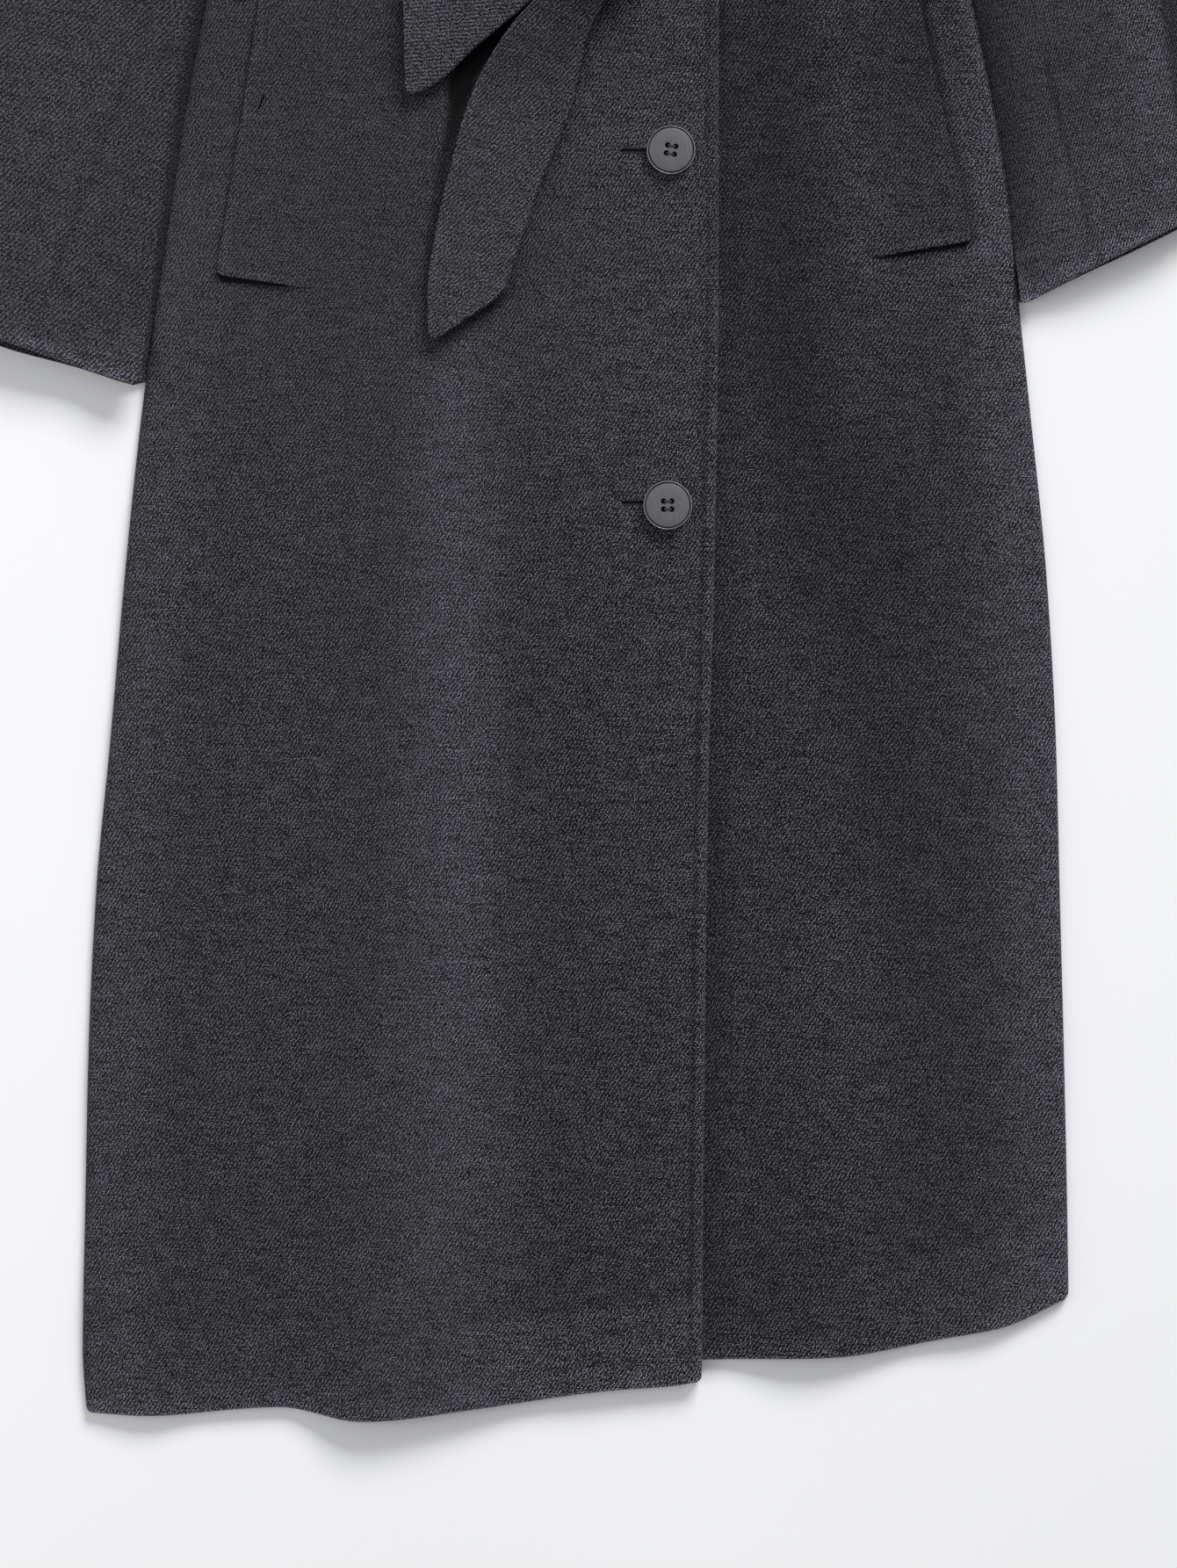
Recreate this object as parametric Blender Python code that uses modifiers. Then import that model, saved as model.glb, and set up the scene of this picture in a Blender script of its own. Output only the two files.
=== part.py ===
"""Long belted wool coat, lying flat on its back, buttoned, with its belt tied in front.

x runs to the viewer's right, y up the coat from the belt line, z up from the surface it lies on.
A drop is a distance below the belt line, so y is minus the drop. Sizes are in millimetres, and are
turned into metres where a mesh is made. Side -1 is the viewer's left and side 1 the viewer's right.
The left front laps over the right one.
"""

import math
from collections import namedtuple

import bmesh
import bpy
from mathutils import Vector

MM = 0.001
LEFT = -1
RIGHT = 1

# Cloth walls, and the gaps at seams.
CLOTH = 2.6
WELT_CLOTH = 2.2
BELT_CLOTH = 3.2
LOOP_CLOTH = 1.5
SEAM = 0.3
BELT_SEAM = 0.5
EDGE_SEAM = 0.4
LAYER = CLOTH + SEAM
FLOOR_GAP = 1.2
FRONT_TOP = CLOTH + LAYER

# The soft roll of a front, or of a top sleeve, down to the surface at a side edge.
EDGE_ROLL = 5.2
ROLL_ANGLES = (0, 30, 60, 90)
UNDER_INSET = 7.2

# Body outline. Half widths of the body from its middle line, by drop.
Side = namedtuple("Side", "drop left right")
SIDES = (
    Side(-205, 250, 250),
    Side(-110, 238, 238),
    Side(0, 225, 225),
    Side(43, 233, 232.5),
    Side(107, 245.5, 246),
    Side(171, 255.5, 256),
    Side(300, 273.5, 270.5),
    Side(396, 283.5, 280),
    Side(493, 292, 285.5),
    Side(590, 301, 288),
    Side(686, 305.5, 290.5),
    Side(782, 307.5, 292.5),
    Side(866, 309, 293.5),
    Side(905, 304, 293.5),
)
ARMPIT_RISE = 205
SHOULDER_RISE = 378
SHOULDER_HALF = 213
NECK_RISE = 404
NECK_HALF = 80
NECK_SCOOP = 16
ARMHOLE_BOW = 6
ARMHOLE_STEPS = 6
SHOULDER_LEAN = 0.056

# Hems, by the distance across from the middle line.
Hem = namedtuple("Hem", "x drop")
HEM_OVER = (
    Hem(-304, 904.8),
    Hem(-271, 906.7),
    Hem(-189, 901.6),
    Hem(-140, 909.6),
    Hem(-66, 902),
    Hem(12, 891.4),
    Hem(58, 888),
    Hem(69, 882),
)
HEM_UNDER = (
    Hem(15, 874.5),
    Hem(70, 872.7),
    Hem(147, 871),
    Hem(219, 859.3),
    Hem(253, 852.8),
    Hem(293.6, 834.6),
)
HEM_BACK = (Hem(-304, 888), Hem(294, 822))
HEM_SHARES = (1, 0.88, 0.7, 0.45, 0.2, 0)
HEM_ZONE_TOP = 700

# The front edges below the point where the lapels break, and the roll lines above it.
Edge = namedtuple("Edge", "drop x")
OVER_EDGE = (
    Edge(-62, 77),
    Edge(43, 79.3),
    Edge(204, 79.3),
    Edge(391, 76.6),
    Edge(525, 73),
    Edge(739, 70.2),
    Edge(886, 69),
)
UNDER_EDGE_X = 21
BREAK_RISE = 62

# Rows of the body panels between the hem and the armpit, by drop.
BODY_DROPS = (
    610, 520, 430, 350, 280, 210, 150, 110, 90, 70, 48, 27, 13.5,
    0, -13.5, -27, -48, -70, -90, -110, -160, -ARMPIT_RISE,
)
FRONT_COLUMNS = 15
BACK_COLUMNS = 10

# How far the belt's back stretch lifts the panels, and how they settle beside it.
BELT_HALF = 27
BELT_LIFT = BELT_CLOTH + SEAM
LIFT_REST = 30
LIFT_FADE = 80

# How the over front climbs on to the under front before its edge.
CLIMB_START = 78
CLIMB_END = 8

# Soft folds of the fronts: crest and reach across, and height, by drop.
Fold = namedtuple("Fold", "drop crest left_reach right_reach height")
MAIN_RIDGE = (
    Fold(255, -88, 30, 32, 0),
    Fold(340, -87, 32, 36, 1.4),
    Fold(500, -86, 40, 46, 2.2),
    Fold(700, -82, 52, 60, 2.8),
    Fold(905, -92, 84, 80, 3.6),
)
LEFT_SIDE_RIDGE = (
    Fold(260, -238, 30, 24, 0),
    Fold(480, -264, 34, 22, 1.2),
    Fold(800, -276, 40, 28, 0.8),
    Fold(905, -268, 40, 28, 0.3),
)
RIGHT_RIDGE = (
    Fold(350, 114, 28, 30, 0),
    Fold(470, 126, 34, 36, 1.6),
    Fold(690, 150, 46, 46, 2.2),
    Fold(870, 152, 60, 60, 3),
)
RIGHT_SIDE_RIDGE = (
    Fold(230, 222, 26, 24, 0),
    Fold(400, 248, 44, 26, 1.8),
    Fold(700, 252, 42, 30, 1.6),
    Fold(850, 238, 46, 38, 1.2),
)
FOLDS = {LEFT: (MAIN_RIDGE, LEFT_SIDE_RIDGE), RIGHT: (RIGHT_RIDGE, RIGHT_SIDE_RIDGE)}

# Sleeves, from the cuff (0) to the shoulder (1): the inner edge by drop, the outer edge, and the puff.
SleeveRow = namedtuple("SleeveRow", "share inner_drop outer_x outer_drop puff")
SLEEVES = {
    LEFT: (
        SleeveRow(0, 280, 436, 225, 3.6),
        SleeveRow(0.2, 130, 423, 85, 3.4),
        SleeveRow(0.4, 0, 395, -62, 3),
        SleeveRow(0.55, -110, 369, -162, 2.6),
        SleeveRow(0.7, -ARMPIT_RISE, 335, -250, 2),
        SleeveRow(0.85, -300, 289, -321, 1.2),
        SleeveRow(1, -SHOULDER_RISE, 229, -370.5, 0.2),
    ),
    RIGHT: (
        SleeveRow(0, 229, 414, 154, 3.6),
        SleeveRow(0.2, 95, 412, 22, 3.4),
        SleeveRow(0.4, -20, 392, -92, 3),
        SleeveRow(0.55, -118, 370, -175, 2.6),
        SleeveRow(0.7, -ARMPIT_RISE, 337, -256, 2),
        SleeveRow(0.85, -300, 290, -323, 1.2),
        SleeveRow(1, -SHOULDER_RISE, 229, -370.5, 0.2),
    ),
}
ARMPIT_SHARE = 0.7
ARMPIT_ROLL_SHARE = 0.78
SLEEVE_ARM_ROWS = 9
SLEEVE_COLUMNS = 6
CUFF_SLIT = 2.6
UNDER_SLEEVE_REACH = 0.95
SleeveGap = namedtuple("SleeveGap", "drop gap")
SLEEVE_GAPS = (
    SleeveGap(-205, EDGE_SEAM),
    SleeveGap(-100, 3),
    SleeveGap(0, 6.5),
    SleeveGap(43, 4.5),
    SleeveGap(107, 2.5),
    SleeveGap(229, 2.5),
    SleeveGap(280, 4.5),
)

# Lapels and collar.
LAPEL_START_RISE = {LEFT: 68, RIGHT: 170}
LAPEL_START_WIDTH = 4
LAPEL_TIP_HALF = 150
LAPEL_TIP_RISE = 300
LAPEL_BOW = 9
LAPEL_ROLL = 2.5
LAPEL_ROWS = 9
LAPEL_COLUMNS = 5
GORGE_RISE = 362
NOTCH_SHARE = 0.62
CollarRow = namedtuple("CollarRow", "share gorge inner_half inner_rise outer_half outer_rise rest")
COLLAR = (
    CollarRow(0, 1, None, None, 149, 355, FRONT_TOP),
    CollarRow(0.18, 0.5, None, None, 152, 387, FRONT_TOP),
    CollarRow(0.36, 0, None, None, 138, 418, FRONT_TOP),
    CollarRow(0.58, None, 72, 394, 106, 440, FRONT_TOP),
    CollarRow(0.78, None, 42, 386, 56, 448, 4),
    CollarRow(1, None, SEAM, 383, SEAM, 450, CLOTH),
)
COLLAR_SHARES = (0, 0.09, 0.18, 0.27, 0.36, 0.47, 0.58, 0.68, 0.78, 0.89, 1)
COLLAR_COLUMNS = 5
COLLAR_ROLL = 3.4

# Pocket welts: the outer edge from its top to its lower corner, and the slope of the lower end.
Welt = namedtuple("Welt", "top_half top_drop end_half end_drop width end_slope")
WELTS = {
    LEFT: Welt(199, 36, 227.5, 208, 58, 9.5),
    RIGHT: Welt(199.5, 36, 233.5, 190, 60, 10),
}
WELT_ROWS = 8
WELT_COLUMNS = 5
WELT_END_LIFT = 1.2
WELT_CORNER = 2.2

# Buttons: place, and the turned profile from the middle of the face to the middle of the back.
BUTTON_PLACES = {"button_upper": (50.6, 133.9), "button_lower": (48.2, 350.9)}
BUTTON_RADIUS = 15
BUTTON_BASE_RADIUS = 13.6
BUTTON_FACE = 2.7
BUTTON_RIM_TOP = 3.7
BUTTON_GROOVE = 2.3
BUTTON_EDGE_LOW = 1.6
BUTTON_RIM_RADII = (11.8, 12.4, 13, 14.2)
BUTTON_STEPS = 32
BUTTON_HOLE_RADIUS = 1.35
BUTTON_HOLE_PITCH = 5.1
BUTTON_HOLE_SIDES = 12

# Belt: the knot, the stretches beside it, the tails and the loops.
KNOT_X = 12
KNOT_SIZE = (62, 58, 22)
KNOT_BEVEL = 10
KNOT_BEVEL_SEGMENTS = 4
BELT_KNOT_HALF = 20
BELT_TAPER = 80
BELT_COLUMNS = 11
BELT_ROWS = 4
BELT_BACK_HALF = 217
STEP_DOWN = 40
Tail = namedtuple("Tail", "share left_x left_drop right_x right_drop left_lift right_lift")
TAIL_UPPER = (
    Tail(0, -112, 33, -109.5, 99.5, 2.6, 1.2),
    Tail(0.12, -106, 30, -97, 95.5, 3, 1.4),
    Tail(0.45, -82, 13, -66, 71, 4, 3.4),
    Tail(0.75, -55, -6, -35, 46, 4.2, 4.8),
    Tail(1, -19.4, -18, -19.4, 26, 4.4, 4.4),
)
TAIL_LOWER = (
    Tail(0, -97, 251, -52, 222, 2.6, 1.8),
    Tail(0.14, -98, 222, -46.5, 209, 2.4, 1),
    Tail(0.32, -93.5, 187.5, -37, 180, 2.2, 0.3),
    Tail(0.5, -84, 146, -24, 144, 2, 0.2),
    Tail(0.7, -71.8, 105, -9, 107, 1.4, 0.2),
    Tail(0.87, -49.8, 65, 1, 65, 0.6, 0.3),
    Tail(1, -8, 29.6, 24, 29.6, 0.5, 0.5),
)
TAIL_ROWS = 14
TAIL_COLUMNS = 5
LOOP_IN = 14
LOOP_HALF_WIDTH = 4.5
LOOP_END = 42
LOOP_ROWS = (-1, -0.84, -0.67, -0.3, 0.3, 0.67, 0.84, 1)
LOOP_OVER_BELT = 0.7

WOOL_COLOUR = (0.040, 0.039, 0.046, 1)
BUTTON_COLOUR = (0.117, 0.114, 0.127, 1)
WOOL_ROUGHNESS = 0.95
BUTTON_ROUGHNESS = 0.45


def lerp(a, b, share):
    return a + (b - a) * share


def eased(share):
    """0 to 1 with a soft start and end."""
    share = min(max(share, 0), 1)
    return (1 - math.cos(math.pi * share)) / 2


def along(rows, at, column):
    """A column's value at a place, on a smooth curve through the rows. The first column is the place."""
    places = [row[0] for row in rows]
    values = [getattr(row, column) for row in rows]
    at = min(max(at, places[0]), places[-1])
    slopes = []
    for k in range(len(rows) - 1):
        slopes.append((values[k + 1] - values[k]) / (places[k + 1] - places[k]))
    leans = [slopes[0]]
    for before, after in zip(slopes, slopes[1:]):
        leans.append(2 * before * after / (before + after) if before * after > 0 else 0)
    leans.append(slopes[-1])
    k = max(i for i in range(len(rows) - 1) if places[i] <= at)
    span = places[k + 1] - places[k]
    s = (at - places[k]) / span
    start = (1 + 2 * s) * (1 - s) ** 2 * values[k] + s * (1 - s) ** 2 * span * leans[k]
    end = s * s * (3 - 2 * s) * values[k + 1] + s * s * (s - 1) * span * leans[k + 1]
    return start + end


def placed(x, drop, z):
    """A point of the coat, with the shoulders leaning a little to one side as they lie."""
    y = -drop
    lean = SHOULDER_LEAN * x * min(max(y / SHOULDER_RISE, 0), 1)
    return Vector((x, y + lean, z)) * MM


def side_half(side, drop):
    return along(SIDES, drop, "left" if side == LEFT else "right")


def armhole_x(side, drop):
    """Across the armhole seam, which bows a little towards the middle."""
    share = (drop + ARMPIT_RISE) / (ARMPIT_RISE - SHOULDER_RISE)
    bow = ARMHOLE_BOW * 4 * share * (1 - share)
    return side * (lerp(side_half(side, -ARMPIT_RISE), SHOULDER_HALF, share) - bow)


def roll_line_x(side, drop):
    """Across the line where a lapel turns back, from the break to the neck."""
    start = along(OVER_EDGE, -BREAK_RISE, "x") if side == LEFT else UNDER_EDGE_X
    return lerp(start, side * NECK_HALF, (-drop - BREAK_RISE) / (NECK_RISE - BREAK_RISE))


def front_edge_x(side, drop):
    if drop < -BREAK_RISE:
        return roll_line_x(side, drop)
    return along(OVER_EDGE, drop, "x") if side == LEFT else UNDER_EDGE_X


def belt_lift(drop):
    """Height that the belt's back stretch gives the panels above it."""
    return BELT_LIFT * (1 - eased((abs(drop) - LIFT_REST) / LIFT_FADE))


def ridge(fold, x, drop):
    if drop <= fold[0].drop:
        return 0
    crest = along(fold, drop, "crest")
    reach = along(fold, drop, "left_reach" if x < crest else "right_reach")
    return along(fold, drop, "height") * eased(1 - abs(x - crest) / reach)


def climb(x, drop):
    """Height of the over front above the level of a single front, over the under front's edge."""
    start = front_edge_x(RIGHT, drop) - CLIMB_START
    return LAYER * eased((x - start) / (CLIMB_START - CLIMB_END))


def front_top(side, x, drop):
    """Height of a front's outer face, away from its side edge."""
    folds = sum(ridge(fold, x, drop) for fold in FOLDS[side])
    over = climb(x, drop) if side == LEFT else 0
    return FRONT_TOP + belt_lift(drop) + folds + over


def roll_step(step):
    """Distance from a rolled edge and share of the full height at a step of its roll."""
    angle = math.radians(ROLL_ANGLES[min(step, len(ROLL_ANGLES) - 1)])
    return EDGE_ROLL * (1 - math.cos(angle)), math.sin(angle)


ROLL_STEPS = len(ROLL_ANGLES) - 1

# A row of a body panel: its drop, its share of the hem's line, its share of the way up the armhole,
# and its step on the roll over the shoulder.
BodyRow = namedtuple("BodyRow", "drop hem armhole shoulder")


def body_rows():
    rows = [BodyRow(HEM_ZONE_TOP, share, 0, None) for share in HEM_SHARES]
    rows += [BodyRow(drop, 0, 0, None) for drop in BODY_DROPS]
    for step in range(1, ARMHOLE_STEPS):
        rows.append(BodyRow(-ARMPIT_RISE, 0, step / ARMHOLE_STEPS, None))
    for step in range(ROLL_STEPS, -1, -1):
        rows.append(BodyRow(-ARMPIT_RISE, 0, 1, step))
    return rows


BODY_ROWS = body_rows()


def hem_drop(hem, row, x):
    return lerp(HEM_ZONE_TOP, along(hem, x, "drop"), row.hem)


def front_point(side, column, number):
    """A point of a front's outer face."""
    row = BODY_ROWS[number]
    hem = HEM_OVER if side == LEFT else HEM_UNDER
    step = column if side == LEFT else FRONT_COLUMNS - column
    offset, rise = roll_step(step)
    share = max(step - ROLL_STEPS, 0) / (FRONT_COLUMNS - ROLL_STEPS)
    down, shoulder_rise = (0, 1) if row.shoulder is None else roll_step(row.shoulder)
    if row.armhole:
        outer_drop = lerp(-ARMPIT_RISE, -SHOULDER_RISE, row.armhole) + down
        inner_drop = lerp(-ARMPIT_RISE, -NECK_RISE, row.armhole) + down
        outer_x = armhole_x(side, outer_drop)
        rise = 1
    elif row.hem:
        corner = hem[0] if side == LEFT else hem[-1]
        tip = hem[-1] if side == LEFT else hem[0]
        outer_drop = hem_drop(hem, row, corner.x)
        inner_drop = hem_drop(hem, row, tip.x)
        outer_x = side * side_half(side, outer_drop)
    else:
        outer_drop = inner_drop = row.drop
        outer_x = side * side_half(side, row.drop)
    inner_x = front_edge_x(side, inner_drop)
    x = lerp(outer_x - side * offset, inner_x, share)
    drop = lerp(outer_drop, inner_drop, (x - outer_x) / (inner_x - outer_x))
    if row.hem:
        drop = hem_drop(hem, row, x)
    top = front_top(side, x, drop)
    return placed(x, drop, lerp(FLOOR_GAP, top, rise * shoulder_rise))


def under_inset(at_armhole):
    """How far a lower layer stays inside the rolled edge above it: not at all beside an armhole seam."""
    return 0 if at_armhole else UNDER_INSET


def back_top_drop(x):
    """The back's upper edge: the shoulders and the scoop of the neck."""
    if abs(x) < NECK_HALF:
        rise = NECK_RISE - NECK_SCOOP * (1 - (x / NECK_HALF) ** 2)
    else:
        rise = lerp(NECK_RISE, SHOULDER_RISE, (abs(x) - NECK_HALF) / (SHOULDER_HALF - NECK_HALF))
    return UNDER_INSET - rise


def back_point(column, number):
    """A point of the back's upper face. It stays inside the fronts' rolled edges."""
    row = BODY_ROWS[number]
    ends = []
    for side in (LEFT, RIGHT):
        if row.armhole:
            drop = lerp(-ARMPIT_RISE, UNDER_INSET - SHOULDER_RISE, row.armhole)
            ends.append(armhole_x(side, drop) - side * under_inset(row.armhole > 1 / ARMHOLE_STEPS))
        else:
            drop = hem_drop(HEM_BACK, row, side * SHOULDER_HALF) if row.hem else row.drop
            ends.append(side * (side_half(side, drop) - UNDER_INSET))
    x = lerp(ends[0], ends[1], column / BACK_COLUMNS)
    drop = hem_drop(HEM_BACK, row, x) if row.hem else row.drop
    if row.armhole:
        drop = lerp(-ARMPIT_RISE, back_top_drop(x), row.armhole)
    return placed(x, drop, CLOTH + belt_lift(drop))


def sleeve_shares():
    """Rows of a sleeve: along the arm, then beside the rows of the armhole."""
    arm = [ARMPIT_SHARE * step / SLEEVE_ARM_ROWS for step in range(SLEEVE_ARM_ROWS)]
    cap = [lerp(ARMPIT_SHARE, 1, step / ARMHOLE_STEPS) for step in range(ARMHOLE_STEPS + 1)]
    return arm + cap


SLEEVE_SHARES = sleeve_shares()


def sleeve_ends(side, share):
    """The inner and outer ends of a row across a sleeve, as x and drop."""
    rows = SLEEVES[side]
    if share > ARMPIT_SHARE:
        up = (share - ARMPIT_SHARE) / (1 - ARMPIT_SHARE)
        drop = lerp(-ARMPIT_RISE, -SHOULDER_RISE, up)
        inner = Vector((armhole_x(side, drop) + side * EDGE_SEAM, drop))
    else:
        drop = along(rows, share, "inner_drop")
        gap = along(SLEEVE_GAPS, drop, "gap")
        inner = Vector((side * (side_half(side, drop) + gap), drop))
    outer = Vector((side * along(rows, share, "outer_x"), along(rows, share, "outer_drop")))
    return inner, outer


def sleeve_top_point(side, column, number):
    """A point of a top sleeve's outer face, rolled down to the surface at its edges."""
    columns = SLEEVE_COLUMNS + 2 * ROLL_STEPS
    step = columns - column if side == LEFT else column
    share = SLEEVE_SHARES[number]
    inner, outer = sleeve_ends(side, share)
    run = (outer - inner).normalized()
    inner_offset, inner_rise = roll_step(step)
    outer_offset, outer_rise = roll_step(columns - step)
    if share > ARMPIT_SHARE:
        inner_rise = 1
    across = min(max((step - ROLL_STEPS) / SLEEVE_COLUMNS, 0), 1)
    spot = (inner + run * inner_offset).lerp(outer - run * outer_offset, across)
    puff = along(SLEEVES[side], share, "puff") * math.sin(math.pi * across)
    return placed(spot.x, spot.y, lerp(FLOOR_GAP, FRONT_TOP + puff, inner_rise * outer_rise))


def sleeve_under_point(side, column, number):
    """A point of an under sleeve's upper face, a little longer than the top sleeve at the cuff."""
    step = SLEEVE_COLUMNS - column if side == LEFT else column
    across = step / SLEEVE_COLUMNS
    share = SLEEVE_SHARES[number] * UNDER_SLEEVE_REACH
    inner, outer = sleeve_ends(side, share)
    run = (outer - inner).normalized()
    spot = (inner + run * under_inset(share > ARMPIT_ROLL_SHARE)).lerp(outer - run * UNDER_INSET, across)
    if number == 0:
        spot += Vector((-run.y, run.x)) * side * CUFF_SLIT * eased(2 * across)
    return placed(spot.x, spot.y, CLOTH)


def lapel_plan(side, share, across):
    """x and drop on a lapel: share runs up from its start, across from the roll line to its outer edge."""
    drop = -lerp(LAPEL_START_RISE[side], GORGE_RISE, share)
    roll = Vector((roll_line_x(side, drop), drop))
    start = Vector((roll_line_x(side, -LAPEL_START_RISE[side]), -LAPEL_START_RISE[side]))
    start.x += side * LAPEL_START_WIDTH
    edge = start.lerp(Vector((side * LAPEL_TIP_HALF, -LAPEL_TIP_RISE)), share)
    bow = LAPEL_BOW * math.sin(math.pi * share)
    edge += Vector((side * bow, bow))
    return roll.lerp(edge, across)


def lapel_point(side, column, number):
    """A point of a lapel's lower face, which lies on its front and rises to the roll line."""
    step = LAPEL_COLUMNS - column if side == LEFT else column
    across = step / LAPEL_COLUMNS
    spot = lapel_plan(side, number / LAPEL_ROWS, across)
    rise = LAPEL_ROLL * (1 - across) ** 2
    return placed(spot.x, spot.y, front_top(side, spot.x, spot.y) + SEAM + rise)


def collar_inner(side, row):
    """Where a collar row meets the gorge of its lapel, or the neck."""
    if row.gorge is None:
        return Vector((side * row.inner_half, -row.inner_rise))
    spot = lapel_plan(side, 1, NOTCH_SHARE * row.gorge)
    return spot - Vector((0, 2 * EDGE_SEAM))


def collar_point(side, column, number):
    """A point of a collar half's lower face, from the notch round to the centre back."""
    step = COLLAR_COLUMNS - column if side == LEFT else column
    across = step / COLLAR_COLUMNS
    share = COLLAR_SHARES[number]
    k = max(i for i in range(len(COLLAR) - 1) if COLLAR[i].share <= share)
    part = (share - COLLAR[k].share) / (COLLAR[k + 1].share - COLLAR[k].share)
    inner = collar_inner(side, COLLAR[k]).lerp(collar_inner(side, COLLAR[k + 1]), part)
    outer_half = along(COLLAR, share, "outer_half")
    outer = Vector((side * outer_half, -along(COLLAR, share, "outer_rise")))
    spot = inner.lerp(outer, across)
    rise = COLLAR_ROLL * (1 - across) ** 2
    return placed(spot.x, spot.y, along(COLLAR, share, "rest") + SEAM + rise)


def welt_point(side, column, number):
    """A point of a pocket welt's lower face. Its lower outer corner is eased round and stands off."""
    welt = WELTS[side]
    step = column if side == LEFT else WELT_COLUMNS - column
    across = step / WELT_COLUMNS
    share = number / WELT_ROWS
    half = lerp(welt.end_half, welt.top_half, share) - welt.width * across
    drop = lerp(welt.end_drop, welt.top_drop, share) + welt.end_slope * across
    if step == 0 and number == 0:
        half -= WELT_CORNER
        drop -= WELT_CORNER
    lift = WELT_END_LIFT * (1 - across) * (1 - share) ** 3
    x = side * half
    return placed(x, drop, front_top(side, x, drop) + SEAM + lift)


def belt_rest(side, x, drop):
    """Height of what the belt lies on: the over front, then a soft step down to the under front."""
    edge = along(OVER_EDGE, drop, "x")
    if side == LEFT or x < edge:
        return front_top(LEFT, x, drop)
    return front_top(RIGHT, x, drop) + LAYER * (1 - eased((x - edge) / STEP_DOWN))


def belt_front_point(side, column, number):
    """A point of a front stretch's lower face, from the body's side edge to the knot."""
    step = column if side == LEFT else BELT_COLUMNS - column
    angle = math.radians(ROLL_ANGLES[min(step, ROLL_STEPS)])
    share = max(step - ROLL_STEPS, 0) / (BELT_COLUMNS - ROLL_STEPS)
    inner_x = KNOT_X + side * (KNOT_SIZE[0] / 2 + EDGE_SEAM)
    width = lerp(-1, 1, number / BELT_ROWS)
    middle_x = lerp(side * side_half(side, 0), inner_x, share)
    taper = eased(abs(middle_x - inner_x) / BELT_TAPER)
    drop = -width * lerp(BELT_KNOT_HALF, BELT_HALF, taper)
    offset = EDGE_ROLL - (EDGE_ROLL + BELT_SEAM) * math.cos(angle)
    x = lerp(side * (side_half(side, drop) - offset), inner_x, share)
    top = belt_rest(side, x, drop) + BELT_SEAM
    return placed(x, drop, lerp(FLOOR_GAP, top, math.sin(angle)))


def belt_back_point(column, number):
    x = lerp(-BELT_BACK_HALF, BELT_BACK_HALF, column)
    return placed(x, lerp(BELT_HALF, -BELT_HALF, number), BELT_CLOTH)


def tail_point(rows, column, number):
    """A point of a belt tail's lower face, from its cut end to the knot."""
    across = column / TAIL_COLUMNS
    share = number / TAIL_ROWS
    x = lerp(along(rows, share, "left_x"), along(rows, share, "right_x"), across)
    drop = lerp(along(rows, share, "left_drop"), along(rows, share, "right_drop"), across)
    lift = lerp(along(rows, share, "left_lift"), along(rows, share, "right_lift"), across)
    return placed(x, drop, front_top(LEFT, x, drop) + BELT_SEAM + lift)


def loop_point(side, column, number):
    """A point of a belt loop's lower face: it rests on the front and bridges the belt."""
    drop = -LOOP_END * LOOP_ROWS[number]
    x = side * (side_half(side, 0) - LOOP_IN) + lerp(-LOOP_HALF_WIDTH, LOOP_HALF_WIDTH, column)
    bridge = BELT_SEAM + BELT_CLOTH + SEAM
    over = bridge if abs(LOOP_ROWS[number]) < LOOP_OVER_BELT else 0
    return placed(x, drop, front_top(side, x, drop) + SEAM + over)


def finished(name, mesh, colour, roughness):
    """An object of the coat with its own material."""
    material = bpy.data.materials.new(name)
    material.use_nodes = True
    shader = material.node_tree.nodes["Principled BSDF"]
    shader.inputs["Base Color"].default_value = colour
    shader.inputs["Roughness"].default_value = roughness
    mesh.materials.append(material)
    piece = bpy.data.objects.new(name, mesh)
    piece.parent = frame
    coat.objects.link(piece)
    return piece


def cloth(name, columns, rows, point, wall, outward):
    """A wall of cloth: a grid bent to point(column, row), thickened on its upper or lower side."""
    grid = bmesh.new()
    bmesh.ops.create_grid(grid, x_segments=columns, y_segments=rows, size=1)
    for corner in grid.verts:
        column = round((corner.co.x + 1) / 2 * columns)
        row = round((corner.co.y + 1) / 2 * rows)
        corner.co = point(column, row)
    mesh = bpy.data.meshes.new(name)
    grid.to_mesh(mesh)
    grid.free()
    piece = finished(name, mesh, WOOL_COLOUR, WOOL_ROUGHNESS)
    solid = piece.modifiers.new("Wall", "SOLIDIFY")
    solid.thickness = wall * MM
    solid.offset = outward
    return piece


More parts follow.
